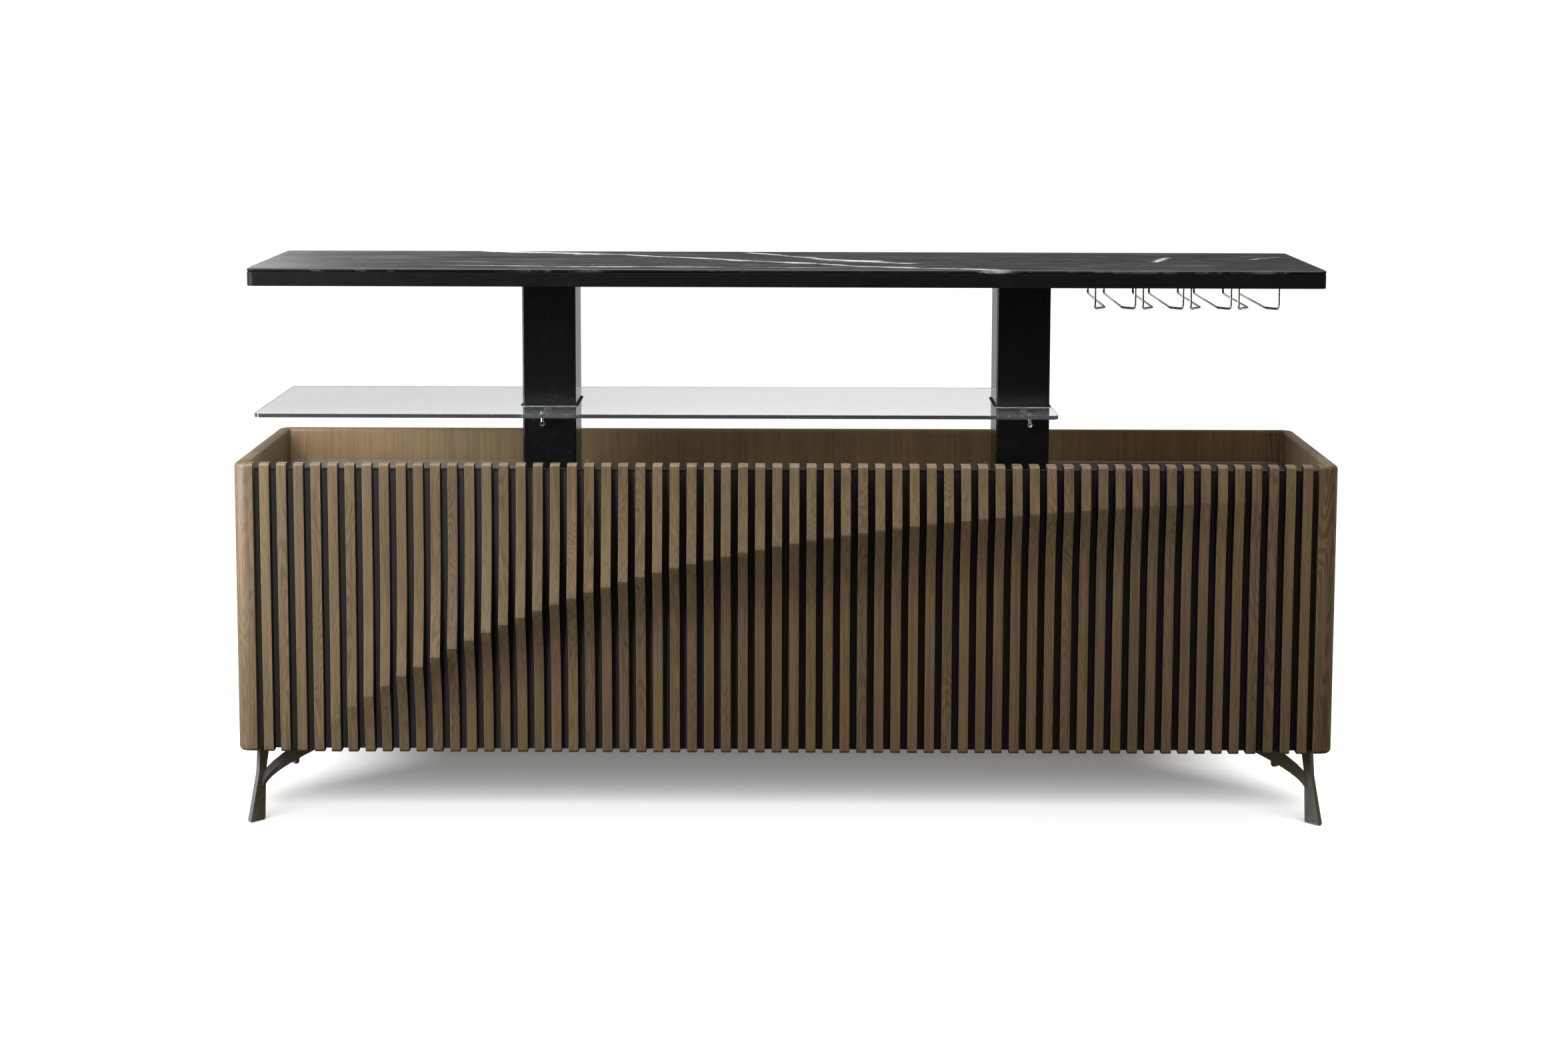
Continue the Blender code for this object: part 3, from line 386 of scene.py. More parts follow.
def make_oak_grain():
    """Grain that runs along Z, with its own figure on every board."""
    tree, given, result = new_group(
        "oak grain",
        [
            ("Vector", "vector", None),
            ("Board", "value", 0.0),
            ("Figure", "value", 1.0),
            ("Light", "colour", (0.3, 0.2, 0.12, 1)),
            ("Dark", "colour", (0.15, 0.1, 0.05, 1)),
            ("Tone spread", "value", 0.1),
        ],
        [("Color", "colour"), ("Roughness", "value"), ("Height", "value")],
    )
    lot = node(tree, "ShaderNodeTexWhiteNoise", {"W": given["Board"]}, noise_dimensions="1D")
    offset = vector_maths(
        tree, "MULTIPLY_ADD", lot.outputs["Color"], BOARD_OFFSET, given["Vector"]
    )[0]

    def drawn(along, *settings):
        return noise(tree, stretch(tree, offset, (1, 1, along)), *settings)

    rings = maths(tree, "SINE", maths(tree, "MULTIPLY", drawn(*OAK_FIELD), OAK_RINGS))
    rings = ease(tree, rings, -0.6, 1.0)
    fibres = drawn(*OAK_FIBRES)
    pores = ease(tree, drawn(*OAK_PORES), 0.60, 0.72)
    chance = node(tree, "ShaderNodeSeparateColor", {0: lot.outputs["Color"]}).outputs[1]
    figure = maths(tree, "MULTIPLY", given["Figure"], ease(tree, chance, 0.35, 0.9, *OAK_FIGURE))
    ring_share = maths(tree, "MULTIPLY", rings, figure)
    streak_share = ease(tree, drawn(*OAK_STREAKS), 0.32, 0.68, 0.0, OAK_STREAK_SHARE)
    fibre_share = ease(tree, fibres, 0.3, 0.7, 0.0, OAK_FIBRE_SHARE)
    darkness = maths(tree, "ADD", ring_share, streak_share)
    darkness = maths(tree, "ADD", darkness, fibre_share)
    darkness = maths(tree, "MULTIPLY_ADD", pores, OAK_PORE_SHARE, darkness, clamp=True)
    colour = blend_colour(tree, darkness, given["Light"], given["Dark"])
    tone = maths(tree, "SUBTRACT", lot.outputs["Value"], 0.5)
    tone = maths(tree, "MULTIPLY", tone, given["Tone spread"])
    clouds = ease(tree, drawn(*OAK_CLOUDS), 0.3, 0.7, *OAK_CLOUD_TONES)
    tone = maths(tree, "ADD", tone, clouds)
    colour = blend_colour(tree, 1.0, colour, grey(tree, tone), "MULTIPLY")
    tree.links.new(colour, result["Color"])
    tree.links.new(maths(tree, "MULTIPLY_ADD", darkness, *OAK_ROUGHNESS), result["Roughness"])
    height = maths(tree, "MULTIPLY", fibres, OAK_FIBRE_HEIGHT)
    height = maths(tree, "MULTIPLY_ADD", pores, OAK_PORE_HEIGHT, height)
    height = maths(tree, "MULTIPLY_ADD", rings, OAK_RING_HEIGHT, height)
    tree.links.new(height, result["Height"])
    return tree


def make_edge_wear():
    """A mask of the outer edges, broken up where hands and cloths rub them."""
    tree, given, result = new_group(
        "edge wear",
        [("Vector", "vector", None), ("Amount", "value", 1.0)],
        [("Mask", "value")],
    )
    turn = node(tree, "ShaderNodeNewGeometry").outputs["Pointiness"]
    edge = ease(tree, turn, 0.52, 0.62)
    patches = ease(tree, noise(tree, given["Vector"], 60.0, 3.0, 0.6), 0.35, 0.7, 0.35, 1.0)
    mask = maths(tree, "MULTIPLY", edge, patches)
    tree.links.new(maths(tree, "MULTIPLY", mask, given["Amount"], clamp=True), result["Mask"])
    return tree


def make_handling():
    """Faint cloudy unevenness of gloss with a fine texture, as paint, metal and plastic show."""
    tree, given, result = new_group(
        "surface unevenness",
        [
            ("Vector", "vector", None),
            ("Texture scale", "value", 900.0),
            ("Roughness", "value", 0.4),
            ("Spread", "value", 0.08),
        ],
        [("Roughness", "value"), ("Height", "value"), ("Clouds", "value")],
    )
    clouds = noise(tree, given["Vector"], 9.0, 4.0, 0.6)
    around_nought = maths(tree, "SUBTRACT", clouds, 0.5)
    rough = maths(tree, "MULTIPLY_ADD", around_nought, given["Spread"], given["Roughness"])
    tree.links.new(rough, result["Roughness"])
    tree.links.new(noise(tree, given["Vector"], given["Texture scale"]), result["Height"])
    tree.links.new(clouds, result["Clouds"])
    return tree


def make_stone_vein():
    """One vein along a line on the slab, wandering to both sides, and gone past its ends."""
    tree, given, result = new_group(
        "stone vein",
        [
            ("Vector", "vector", None),
            ("Middle", "vector", (0, 0, 0)),
            ("Turn", "value", 0.0),
            ("Half length", "value", 0.4),
            ("Width", "value", 0.006),
            ("Wander", "value", 0.03),
            ("Wander scale", "value", 6.0),
        ],
        [("Mask", "value")],
    )
    local = node(
        tree,
        "ShaderNodeVectorRotate",
        {"Vector": given["Vector"], "Center": given["Middle"], "Angle": given["Turn"]},
        rotation_type="Z_AXIS",
    ).outputs[0]
    local = vector_maths(tree, "SUBTRACT", local, given["Middle"])[0]
    parts = split(tree, local)
    wander = noise(tree, given["Vector"], given["Wander scale"], 4.0, 0.6)
    wander = maths(tree, "MULTIPLY", maths(tree, "SUBTRACT", wander, 0.5), given["Wander"])
    away = maths(tree, "ABSOLUTE", maths(tree, "ADD", parts[1], wander))
    swell = noise(tree, given["Vector"], 11.0, 3.0, 0.65)
    width = maths(tree, "MULTIPLY", given["Width"], ease(tree, swell, 0.35, 0.7, 0.45, 2.6))
    across = maths(tree, "DIVIDE", away, width)
    core = ease(tree, across, 0.25, 0.80, 1.0, 0.0)
    strands = noise(tree, stretch(tree, local, (0.25, 1, 1)), 75.0, 4.0, 0.65)
    strands = ease(tree, strands, 0.47, 0.62, 0.0, 0.6)
    strands = maths(tree, "MULTIPLY", strands, ease(tree, across, 0.5, 2.0, 1.0, 0.0))
    body = maths(tree, "MAXIMUM", core, strands)
    along = maths(tree, "DIVIDE", maths(tree, "ABSOLUTE", parts[0]), given["Half length"])
    fade = ease(tree, along, 0.6, 1.05, 1.0, 0.0)
    tree.links.new(maths(tree, "MULTIPLY", body, fade, clamp=True), result["Mask"])
    return tree


oak_grain = make_oak_grain()
edge_wear = make_edge_wear()
handling = make_handling()
stone_vein = make_stone_vein()

# Materials

OAK_LIGHT = (0.279, 0.190, 0.098, 1)
OAK_DARK = (0.126, 0.078, 0.029, 1)
OAK_RUBBED = (0.34, 0.25, 0.16, 1)
OAK_TONE_SPREAD = 0.16
OAK_GLOSS = 0.8
REAR_WARMTH = (1.12, 1.0, 0.80, 1)
SIDE_FACE_BLACK = (0.034, 0.033, 0.032, 1)
SIDE_GLOSS = 0.15
WEAR_AMOUNT = 0.5
BACKING_LIGHT = (0.058, 0.057, 0.056, 1)
BACKING_DARK = (0.036, 0.036, 0.037, 1)
BACKING_PAINTED_SHADE = (0.010, 0.010, 0.010, 1)
STONE_BLACKS = ((0.008, 0.008, 0.0085, 1), (0.025, 0.025, 0.0255, 1))
STONE_STREAK = (0.18, 0.18, 0.18, 1)
STONE_GRIT = (0.07, 0.07, 0.073, 1)
STONE_VEIN = (0.72, 0.71, 0.69, 1)
STONE_ARRIS_HIGHLIGHT = (0.16, 0.16, 0.16, 1)
STONE_DRIFT = (0.10, 0.10, 0.0)
GLASS_TINTS = ((0.93, 0.94, 0.935, 1), (0.955, 0.965, 0.96, 1))
GLASS_EDGE = (0.48, 0.49, 0.48, 1)
GLASS_SHADOW = (0.80, 0.84, 0.83, 1)

# Veins of the marble: middle, turn, half length, width, wander, scale of the wander
VEINS = (
    ((-0.09, 0.020, 0.0), 0.490, 0.40, 0.0070, 0.07, 5.0),
    ((-0.52, 0.212, 0.0), 0.310, 0.17, 0.0130, 0.04, 8.0),
    ((0.31, -0.168, 0.0), 0.260, 0.16, 0.0050, 0.04, 8.0),
    ((-0.30, -0.145, 0.0), 0.030, 0.42, 0.0030, 0.04, 5.0),
    ((0.00, 0.141, 0.0), 0.840, 0.14, 0.0040, 0.05, 9.0),
    ((0.165, 0.005, 0.0), 0.500, 0.12, 0.0110, 0.07, 9.0),
    ((0.78, 0.060, 0.0), -1.170, 0.07, 0.0035, 0.04, 12.0),
    ((1.00, 0.108, 0.0), -0.750, 0.05, 0.0030, 0.04, 12.0),
)
VEIN_INPUTS = ("Middle", "Turn", "Half length", "Width", "Wander", "Wander scale")


def tinted(colour, tint):
    return tuple(part * share for part, share in zip(colour, tint))


def make_oak(name, board=0.0, per_slat=False, figure=1.0, grain_along_x=False, tint=UNTINTED):
    material, tree, shader, place_in = new_material(name, Specular_IOR_Level=OAK_GLOSS)
    turned = place_in
    if grain_along_x:
        quarter_turn = {"Vector": place_in, "Angle": math.pi / 2}
        turned = node(tree, "ShaderNodeVectorRotate", quarter_turn, rotation_type="Y_AXIS")
        turned = turned.outputs[0]
    inputs = {
        "Vector": turned,
        "Figure": figure,
        "Light": tinted(OAK_LIGHT, tint),
        "Dark": tinted(OAK_DARK, tint),
        "Tone spread": OAK_TONE_SPREAD,
        "Board": board,
    }
    if per_slat:
        across = split(tree, place_in)[0]
        inputs["Board"] = maths(tree, "FLOOR", maths(tree, "DIVIDE", across, SLAT_PITCH))
    grain = use_group(tree, oak_grain, inputs)
    wear = use_group(tree, edge_wear, {"Vector": place_in, "Amount": WEAR_AMOUNT})
    base = blend_colour(tree, wear["Mask"], grain["Color"], OAK_RUBBED)
    if per_slat:
        # Faces turned sideways, which are the slats' sides in the gaps, are coloured near black and
        # given less gloss
        sideways = maths(tree, "ABSOLUTE", surface_normal(tree)[0])
        side_face = ease(tree, sideways, 0.72, 0.92)
        base = blend_colour(tree, side_face, base, SIDE_FACE_BLACK)
        gloss = ease(tree, side_face, 0.0, 1.0, OAK_GLOSS, SIDE_GLOSS)
        tree.links.new(gloss, shader.inputs["Specular IOR Level"])
    tree.links.new(base, shader.inputs["Base Color"])
    tree.links.new(grain["Roughness"], shader.inputs["Roughness"])
    relief_of_height(tree, shader, grain["Height"], 0.35, 0.0004)
    return material


def make_painted(name, colour, worn, roughness, texture, depth, spread=0.14, **constants):
    material, tree, shader, place_in = new_material(name, **constants)
    coat = use_group(
        tree,
        handling,
        {"Vector": place_in, "Texture scale": texture, "Roughness": roughness, "Spread": spread},
    )
    wear = use_group(tree, edge_wear, {"Vector": place_in, "Amount": WEAR_AMOUNT})
    clouded = ease(tree, coat["Clouds"], 0.3, 0.7)
    base = blend_colour(tree, clouded, shaded(colour, 0.82), colour)
    tree.links.new(blend_colour(tree, wear["Mask"], base, worn), shader.inputs["Base Color"])
    tree.links.new(coat["Roughness"], shader.inputs["Roughness"])
    relief_of_height(tree, shader, coat["Height"], 0.3, depth)
    return material


def make_backing():
    """Black stained board, with painted shade along its top edge, which lies in the slats' shade.
    """
    material, tree, shader, place_in = new_material("black stained backing", Specular_IOR_Level=0.4)
    stain = use_group(
        tree,
        handling,
        {"Vector": place_in, "Texture scale": 1100.0, "Roughness": 0.68, "Spread": 0.10},
    )
    height = split(tree, place_in)[2]
    grain = noise(tree, stretch(tree, place_in, (1, 1, 0.02)), 700.0, 3.0, 0.6)
    face = blend_colour(tree, grain, BACKING_DARK, BACKING_LIGHT)
    # Painted shade: the top edge, below the slats' tops, is coloured near black
    edge = ease(tree, height, BACKING_TOP - 0.008, BACKING_TOP - 0.001)
    base = blend_colour(tree, edge, face, BACKING_PAINTED_SHADE)
    tree.links.new(base, shader.inputs["Base Color"])
    tree.links.new(stain["Roughness"], shader.inputs["Roughness"])
    relief_of_height(tree, shader, maths(tree, "ADD", stain["Height"], grain), 0.3, 0.00005)
    return material


def make_metal(name, colour, roughness, along=(1, 1, 1), texture=700.0, depth=0.00003):
    material, tree, shader, place_in = new_material(name, Metallic=1.0)
    drawn = stretch(tree, place_in, along)
    face = use_group(
        tree,
        handling,
        {"Vector": drawn, "Texture scale": texture, "Roughness": roughness, "Spread": 0.10},
    )
    base = blend_colour(tree, face["Clouds"], shaded(colour, 0.86), colour)
    tree.links.new(base, shader.inputs["Base Color"])
    tree.links.new(face["Roughness"], shader.inputs["Roughness"])
    relief_of_height(tree, shader, face["Height"], 0.2, depth)
    return material


def make_stone():
    material, tree, shader, place_in = new_material("black marble", Specular_IOR_Level=0.045)
    drift = noise(tree, place_in, 3.0, 3.0, 0.6, output=1)
    drift = vector_maths(tree, "SUBTRACT", drift, (0.5, 0.5, 0.5))[0]
    flat = vector_maths(tree, "MULTIPLY_ADD", drift, STONE_DRIFT, place_in)[0]
    clouds = noise(tree, stretch(tree, flat, (0.7, 2.2, 1)), 4.0, 6.0, 0.62)
    streaks = noise(tree, stretch(tree, flat, (0.55, 6.0, 1)), 10.0, 9.0, 0.72)
    grit = noise(tree, flat, 420.0, 2.0, 0.6)
    base = blend_colour(tree, ease(tree, clouds, 0.35, 0.7), *STONE_BLACKS)
    base = blend_colour(tree, ease(tree, streaks, 0.50, 0.66, 0.0, 0.70), base, STONE_STREAK)
    base = blend_colour(tree, ease(tree, grit, 0.55, 0.75, 0.0, 0.3), base, STONE_GRIT)
    mask = None
    for values in VEINS:
        inputs = {"Vector": place_in, **dict(zip(VEIN_INPUTS, values))}
        vein = use_group(tree, stone_vein, inputs)["Mask"]
        mask = vein if mask is None else maths(tree, "MAXIMUM", mask, vein)
    base = blend_colour(tree, mask, base, STONE_VEIN)
    # Painted highlight: the rounded arris between the slab's top and its sides is coloured light,
    # like a polished edge catching light
    level = surface_normal(tree)[2]
    below_top = ease(tree, level, 0.90, 0.99, 0.7, 0.0)
    arris_highlight = maths(tree, "MULTIPLY", ease(tree, level, 0.15, 0.40), below_top)
    base = blend_colour(tree, arris_highlight, base, STONE_ARRIS_HIGHLIGHT)
    tree.links.new(base, shader.inputs["Base Color"])
    tree.links.new(ease(tree, streaks, 0.38, 0.64, 0.40, 0.76), shader.inputs["Roughness"])
    relief_of_height(tree, shader, maths(tree, "SUBTRACT", grit, mask), 0.12, 0.0002)
    return material


def make_glass():
    material, tree, shader, place_in = new_material(
        "clear glass", Metallic=0.0, Transmission_Weight=0.95, IOR=1.5
    )
    smears = use_group(
        tree,
        handling,
        {"Vector": place_in, "Texture scale": 30.0, "Roughness": 0.03, "Spread": 0.02},
    )
    tint = blend_colour(tree, smears["Clouds"], *GLASS_TINTS)
    level = maths(tree, "ABSOLUTE", surface_normal(tree)[2])
    edge = ease(tree, level, 0.35, 0.7, 1.0, 0.0)
    tint = blend_colour(tree, edge, tint, GLASS_EDGE)
    tree.links.new(tint, shader.inputs["Base Color"])
    tree.links.new(smears["Roughness"], shader.inputs["Roughness"])
    clear = node(tree, "ShaderNodeBsdfTransparent", {"Color": GLASS_SHADOW}).outputs[0]
    shadow_ray = node(tree, "ShaderNodeLightPath").outputs["Is Shadow Ray"]
    mixed = node(tree, "ShaderNodeMixShader", {0: shadow_ray, 1: shader.outputs[0], 2: clear})
    tree.links.new(mixed.outputs[0], tree.nodes["Material Output"].inputs["Surface"])
    return material


SLAT_FIGURE = 0.8
POST_FIGURE = 1.6
PANEL_FIGURE = 0.45
FIRST_BOARD = 70.0
FLOOR_BOARD = 91.0

oak_slats = make_oak("oak slats", per_slat=True, figure=SLAT_FIGURE)
oak_boards = {}
for number, board in enumerate(("left", "right", "post left", "post right", "rear")):
    oak_boards[board] = make_oak(
        f"oak {board}",
        board=FIRST_BOARD + number,
        figure=POST_FIGURE if "post" in board else PANEL_FIGURE,
        tint=REAR_WARMTH if board == "rear" else UNTINTED,
    )
oak_floor = make_oak("oak floor", board=FLOOR_BOARD, grain_along_x=True)
backing_board = make_backing()
black_board = make_painted(
    "black lacquered board",
    colour=(0.006, 0.006, 0.0062, 1),
    worn=(0.04, 0.038, 0.035, 1),
    roughness=0.50,
    texture=1300.0,
    depth=0.00003,
    Specular_IOR_Level=0.2,
)
black_paint = make_painted(
    "black powder coat",
    colour=(0.006, 0.006, 0.0063, 1),
    worn=(0.03, 0.03, 0.031, 1),
    roughness=0.22,
    texture=1500.0,
    depth=0.00003,
    spread=0.04,
    Specular_IOR_Level=0.35,
)
grey_casting = make_painted(
    "grey cast metal",
    colour=(0.230, 0.232, 0.208, 1),
    worn=(0.34, 0.34, 0.31, 1),
    roughness=0.46,
    texture=700.0,
    depth=0.00012,
    Metallic=0.15,
)
black_plastic = make_painted(
    "black moulded plastic",
    colour=(0.016, 0.016, 0.017, 1),
    worn=(0.06, 0.06, 0.062, 1),
    roughness=0.50,
    texture=1900.0,
    depth=0.00006,
)
rubber = make_painted(
    "black rubber",
    colour=(0.022, 0.022, 0.022, 1),
    worn=(0.05, 0.05, 0.05, 1),
    roughness=0.78,
    texture=1200.0,
    depth=0.00005,
)
nylon = make_painted(
    "natural nylon",
    colour=(0.62, 0.61, 0.57, 1),
    worn=(0.70, 0.69, 0.66, 1),
    roughness=0.42,
    texture=800.0,
    depth=0.00003,
)
bare_steel = make_metal("zinc plated steel", colour=(0.52, 0.52, 0.53, 1), roughness=0.34)
drawn_steel = make_metal(
    "drawn steel rod", colour=(0.60, 0.60, 0.61, 1), roughness=0.22, along=(1, 1, 0.02)
)
chrome = make_metal(
    "polished chrome", colour=(0.86, 0.86, 0.87, 1), roughness=0.06, texture=300.0, depth=0.00001
)
stone = make_stone()
glass = make_glass()

# Slatted front


def soft_step(value):
    value = min(max(value, 0.0), 1.0)
    return value * value * (3 - 2 * value)


def crest_z(x):
    return CREST_TOP - CREST_DROP * math.exp(-(x + HALF_LENGTH) / CREST_REACH)


def relief(x, z):
    """How far the carving stands out from the flat slat face."""
    fade_in = soft_step((x + HALF_LENGTH - CARVING_START) / CARVING_RISE)
    fade_out = math.sin(math.pi / 2 * min(max(HALF_LENGTH - x - CARVING_END, 0.0), 1.0))
    away = z - crest_z(x)
    reach = SWELL_ABOVE if away > 0 else SWELL_BELOW
    away = math.hypot(away, CREST_ROUNDING)
    return CREST_HEIGHT * fade_in * fade_out * max(1 - away / reach, 0.0) ** SWELL_POWER


def model_plain_slat():
    """One uncarved slat about x 0: rounded ends, soft arrises, and rows that the carving moves."""
    half = SLAT_WIDTH / 2
    slat = add_block("slat", (-half, SLAT_FRONT, SLAT_FOOT), (half, SLAT_BACK, SLAT_TOP))
    open_mesh(slat)
    front = SLAT_FRONT + SAME_PLACE
    pick_edges(slat, lambda a, b: max(a.y, b.y) < front and abs(a.z - b.z) < SAME_PLACE)
    bpy.ops.mesh.bevel(
        offset=SLAT_END_ROUNDING, segments=SLAT_END_STEPS, profile=0.5, affect="EDGES"
    )
    back = SLAT_BACK - SAME_PLACE
    pick_edges(slat, lambda a, b: abs(a.x - b.x) < SAME_PLACE and min(a.y, b.y) < back)
    bpy.ops.mesh.bevel(
        offset=SLAT_ARRIS, segments=SLAT_ARRIS_STEPS, profile=SLAT_ARRIS_PROFILE, affect="EDGES"
    )
    pick_edges(slat, lambda a, b: abs(a.z - b.z) > (SLAT_TOP - SLAT_FOOT) / 2)
    bpy.ops.mesh.subdivide(number_cuts=SLAT_ROWS - 1)
    close_mesh()
    return slat


def carve(slat, centre_x):
    """Moves a plain slat's rows so that one lies on its crest, then pulls the front out."""
    low = SLAT_FOOT + SLAT_END_ROUNDING
    high = SLAT_TOP - SLAT_END_ROUNDING
    crest = min(max(crest_z(centre_x), low + CREST_MARGIN), high - CREST_MARGIN)
    below = round((crest - low) / (high - low) * SLAT_ROWS)
    below = min(max(below, LEAST_ROWS_BESIDE_CREST), SLAT_ROWS - LEAST_ROWS_BESIDE_CREST)
    for vertex in slat.data.vertices:
        spot = vertex.co
        if low + ROW_TOLERANCE < spot.z < high - ROW_TOLERANCE:
            row = round((spot.z - low) / (high - low) * SLAT_ROWS)
            if row <= below:
                spot.z = crest - (crest - low) * ((below - row) / below) ** ROW_CROWDING
            else:
                share = (row - below) / (SLAT_ROWS - below)
                spot.z = crest + (high - crest) * share ** ROW_CROWDING
        if spot.y < SLAT_BACK - ROW_TOLERANCE:
            spot.y -= relief(centre_x, spot.z)
        spot.x += centre_x


plain_slat = model_plain_slat()
first = 0
for panel, count in enumerate(PANEL_SLATS, 1):
    carved = []
    for number in range(first, first + count):
        slat = copy_of(plain_slat, f"slat_{number}")
        carve(slat, (number - (SLAT_COUNT - 1) / 2) * SLAT_PITCH)
        carved.append(slat)
    first += count
    slats = join(f"slats_{panel}", carved)
    soften(slats, SLAT_SMOOTH_BELOW)
    place(slats, oak_slats, "oak", "cabinet", f"slat_panel_{panel}")
    low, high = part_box(f"slat_panel_{panel}")
    backing = add_block(
        f"backing_{panel}",
        (low.x, BACKING_FRONT, BACKING_FOOT),
        (high.x, BACKING_REAR, BACKING_TOP),
    )
    round_edges(backing, BACKING_EDGE, segments=1)
    soften(backing)
    place(backing, backing_board, "black_board", "cabinet", f"slat_panel_{panel}")
bpy.data.objects.remove(plain_slat)

# Pieces that keep the CAD shape, with worked edges

CRISP_EDGE = 0.0004
SOFT_EDGE = 0.0005
RUBBER_EDGE = 0.0003
GLASS_ARRIS = 0.0007
TOP_BOARD_EDGE = 0.0008
CAST_EDGE = 0.0009
STONE_EDGE = 0.0013


def carry_over(cad_node, name, material, slot, edge):
    piece = merged_copy(cad_node, name)
    round_edges(piece, edge)
    soften(piece)
    place(piece, material, slot, frame["nodes"][cad_node]["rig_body"], cad_node)


def carry_over_oak(cad_node, name, board):
    carry_over(cad_node, name, oak_boards[board], "oak", SOFT_EDGE)


carry_over_oak("side_panel_left", "side_left", "left")
carry_over_oak("side_panel_right", "side_right", "right")
carry_over_oak("rear_panel", "rear", "rear")
carry_over("floor_panel", "floor_board", oak_floor, "oak", CRISP_EDGE)
for side in ("left", "right"):
    carry_over_oak(f"corner_post_front_{side}", f"post_front_{side}", f"post {side}")
    carry_over_oak(f"corner_post_rear_{side}", f"post_rear_{side}", f"post {side}")
    for end_side in (f"front_{side}", f"rear_{side}"):
        carry_over(
            f"leg_{end_side}", f"forked_leg_{end_side}", grey_casting, "grey_casting", CAST_EDGE
        )
        carry_over(f"leg_glide_{end_side}", f"foot_glide_{end_side}", nylon, "nylon", SOFT_EDGE)
    carry_over(f"column_sleeve_{side}", f"column_{side}", black_paint, "black_paint", CRISP_EDGE)
    carry_over(f"column_cap_{side}", f"column_plate_{side}", black_paint, "black_paint", SOFT_EDGE)
    carry_over(f"lift_mast_{side}", f"inner_tube_{side}", bare_steel, "bare_steel", CRISP_EDGE)
    carry_over(
        f"glass_shelf_lower_{side}", f"glass_lower_{side}", glass, "clear_glass", GLASS_ARRIS
    )
    for level in ("upper", "lower"):
        level_side = f"{level}_{side}"
        carry_over(
            f"shelf_gasket_{level_side}", f"gasket_{level_side}", rubber, "rubber", RUBBER_EDGE
        )
carry_over("glass_shelf_upper", "glass_upper", glass, "clear_glass", GLASS_ARRIS)
carry_over("stone_top", "marble_top", stone, "stone", STONE_EDGE)
carry_over("top_board", "black_top_board", black_board, "black_board", TOP_BOARD_EDGE)
carry_over("control_box", "drive_control", black_plastic, "black_plastic", SOFT_EDGE)
carry_over("power_inlet", "mains_inlet", black_plastic, "black_plastic", CRISP_EDGE)

# CAD nodes that keep their own mesh


def refinish(material, *names):
    for name in names:
        for holder in frame["nodes"][name].material_slots:
            holder.material = material


for side in ("left", "right"):
    refinish(nylon, f"mast_slider_{side}", f"sleeve_glide_{side}")
    refinish(black_plastic, f"drive_housing_{side}")
    refinish(drawn_steel, f"drive_rod_{side}")

# Chrome glass supports, one modelled about its block's top and copied to the eight places

CLAMP_HALF_WIDTH = 0.007
CLAMP_DEPTH = 0.026
CLAMP_HEIGHT = 0.012
CLAMP_EDGE = 0.0012
STUD_X = -0.013
STUD_Y = -0.016
STUD_MIDDLE = -0.018
STUD_RADIUS = 0.0036
STUD_LENGTH = 0.018
BARREL_MIDDLE = -0.0262
BARREL_RADIUS = 0.0052
BARREL_LENGTH = 0.012
BARREL_RIM = 0.0015
BARREL_DISH = 0.0016
COLLAR_MIDDLE = -0.0125
COLLAR_RADIUS = 0.0060
COLLAR_LENGTH = 0.0022
PIN_MIDDLE_Y = -0.0262
PIN_RADIUS = 0.0034
PIN_LENGTH = 0.0016
FACING = 0.9

# Screw heads
SCREW_RADIUS = 0.0042
SCREW_HEIGHT = 0.0022
SCREW_SOCKET_SHARE = 0.5
SCREW_SOCKET_DEPTH = 0.6
SCREW_EDGE_SHARE = 0.16


def model_support():
    """A clamp block on the column's face, and a dished barrel on a stud under the glass."""
    block = add_block(
        "support", (-CLAMP_HALF_WIDTH, -CLAMP_DEPTH, -CLAMP_HEIGHT), (CLAMP_HALF_WIDTH, 0, 0)
    )
    round_edges(block, CLAMP_EDGE, segments=3)
    stud = add_rod("stud", (STUD_X, STUD_Y, STUD_MIDDLE), STUD_RADIUS, STUD_LENGTH)
    round_edges(stud, CRISP_EDGE)
    barrel_place = (STUD_X, STUD_Y, BARREL_MIDDLE)
    barrel = add_rod("barrel", barrel_place, BARREL_RADIUS, BARREL_LENGTH, 40, along_y=True)
    open_mesh(barrel)
    pick_faces(barrel, lambda facing: abs(facing.y) > FACING)
    bpy.ops.mesh.inset(thickness=BARREL_RIM, use_individual=True)
    bpy.ops.mesh.extrude_region_shrink_fatten(TRANSFORM_OT_shrink_fatten={"value": -BARREL_DISH})
    close_mesh()
    round_edges(barrel, CRISP_EDGE)
    collar = add_rod("collar", (STUD_X, STUD_Y, COLLAR_MIDDLE), COLLAR_RADIUS, COLLAR_LENGTH, 36)
    round_edges(collar, SOFT_EDGE)
    pin_place = (0, PIN_MIDDLE_Y, -CLAMP_HEIGHT / 2)
    pin = add_rod("pin", pin_place, PIN_RADIUS, PIN_LENGTH, 24, along_y=True)
    round_edges(pin, SOFT_EDGE)
    support = join("support", [block, stud, barrel, collar, pin])
    soften(support, TURNED_SMOOTH_BELOW)
    return support


def model_screw():
    """A socket screw's head, its foot at the origin and its face up."""
    screw = add_rod("screw", (0, 0, SCREW_HEIGHT / 2), SCREW_RADIUS, SCREW_HEIGHT, 28)
    open_mesh(screw)
    pick_faces(screw, lambda facing: facing.z > FACING)
    bpy.ops.mesh.inset(thickness=SCREW_RADIUS * SCREW_SOCKET_SHARE)
    down = (0, 0, -SCREW_HEIGHT * SCREW_SOCKET_DEPTH)
    bpy.ops.mesh.extrude_region_move(TRANSFORM_OT_translate={"value": down})
    close_mesh()
    round_edges(screw, SCREW_RADIUS * SCREW_EDGE_SHARE, segments=3)
    soften(screw, TURNED_SMOOTH_BELOW)
    return screw


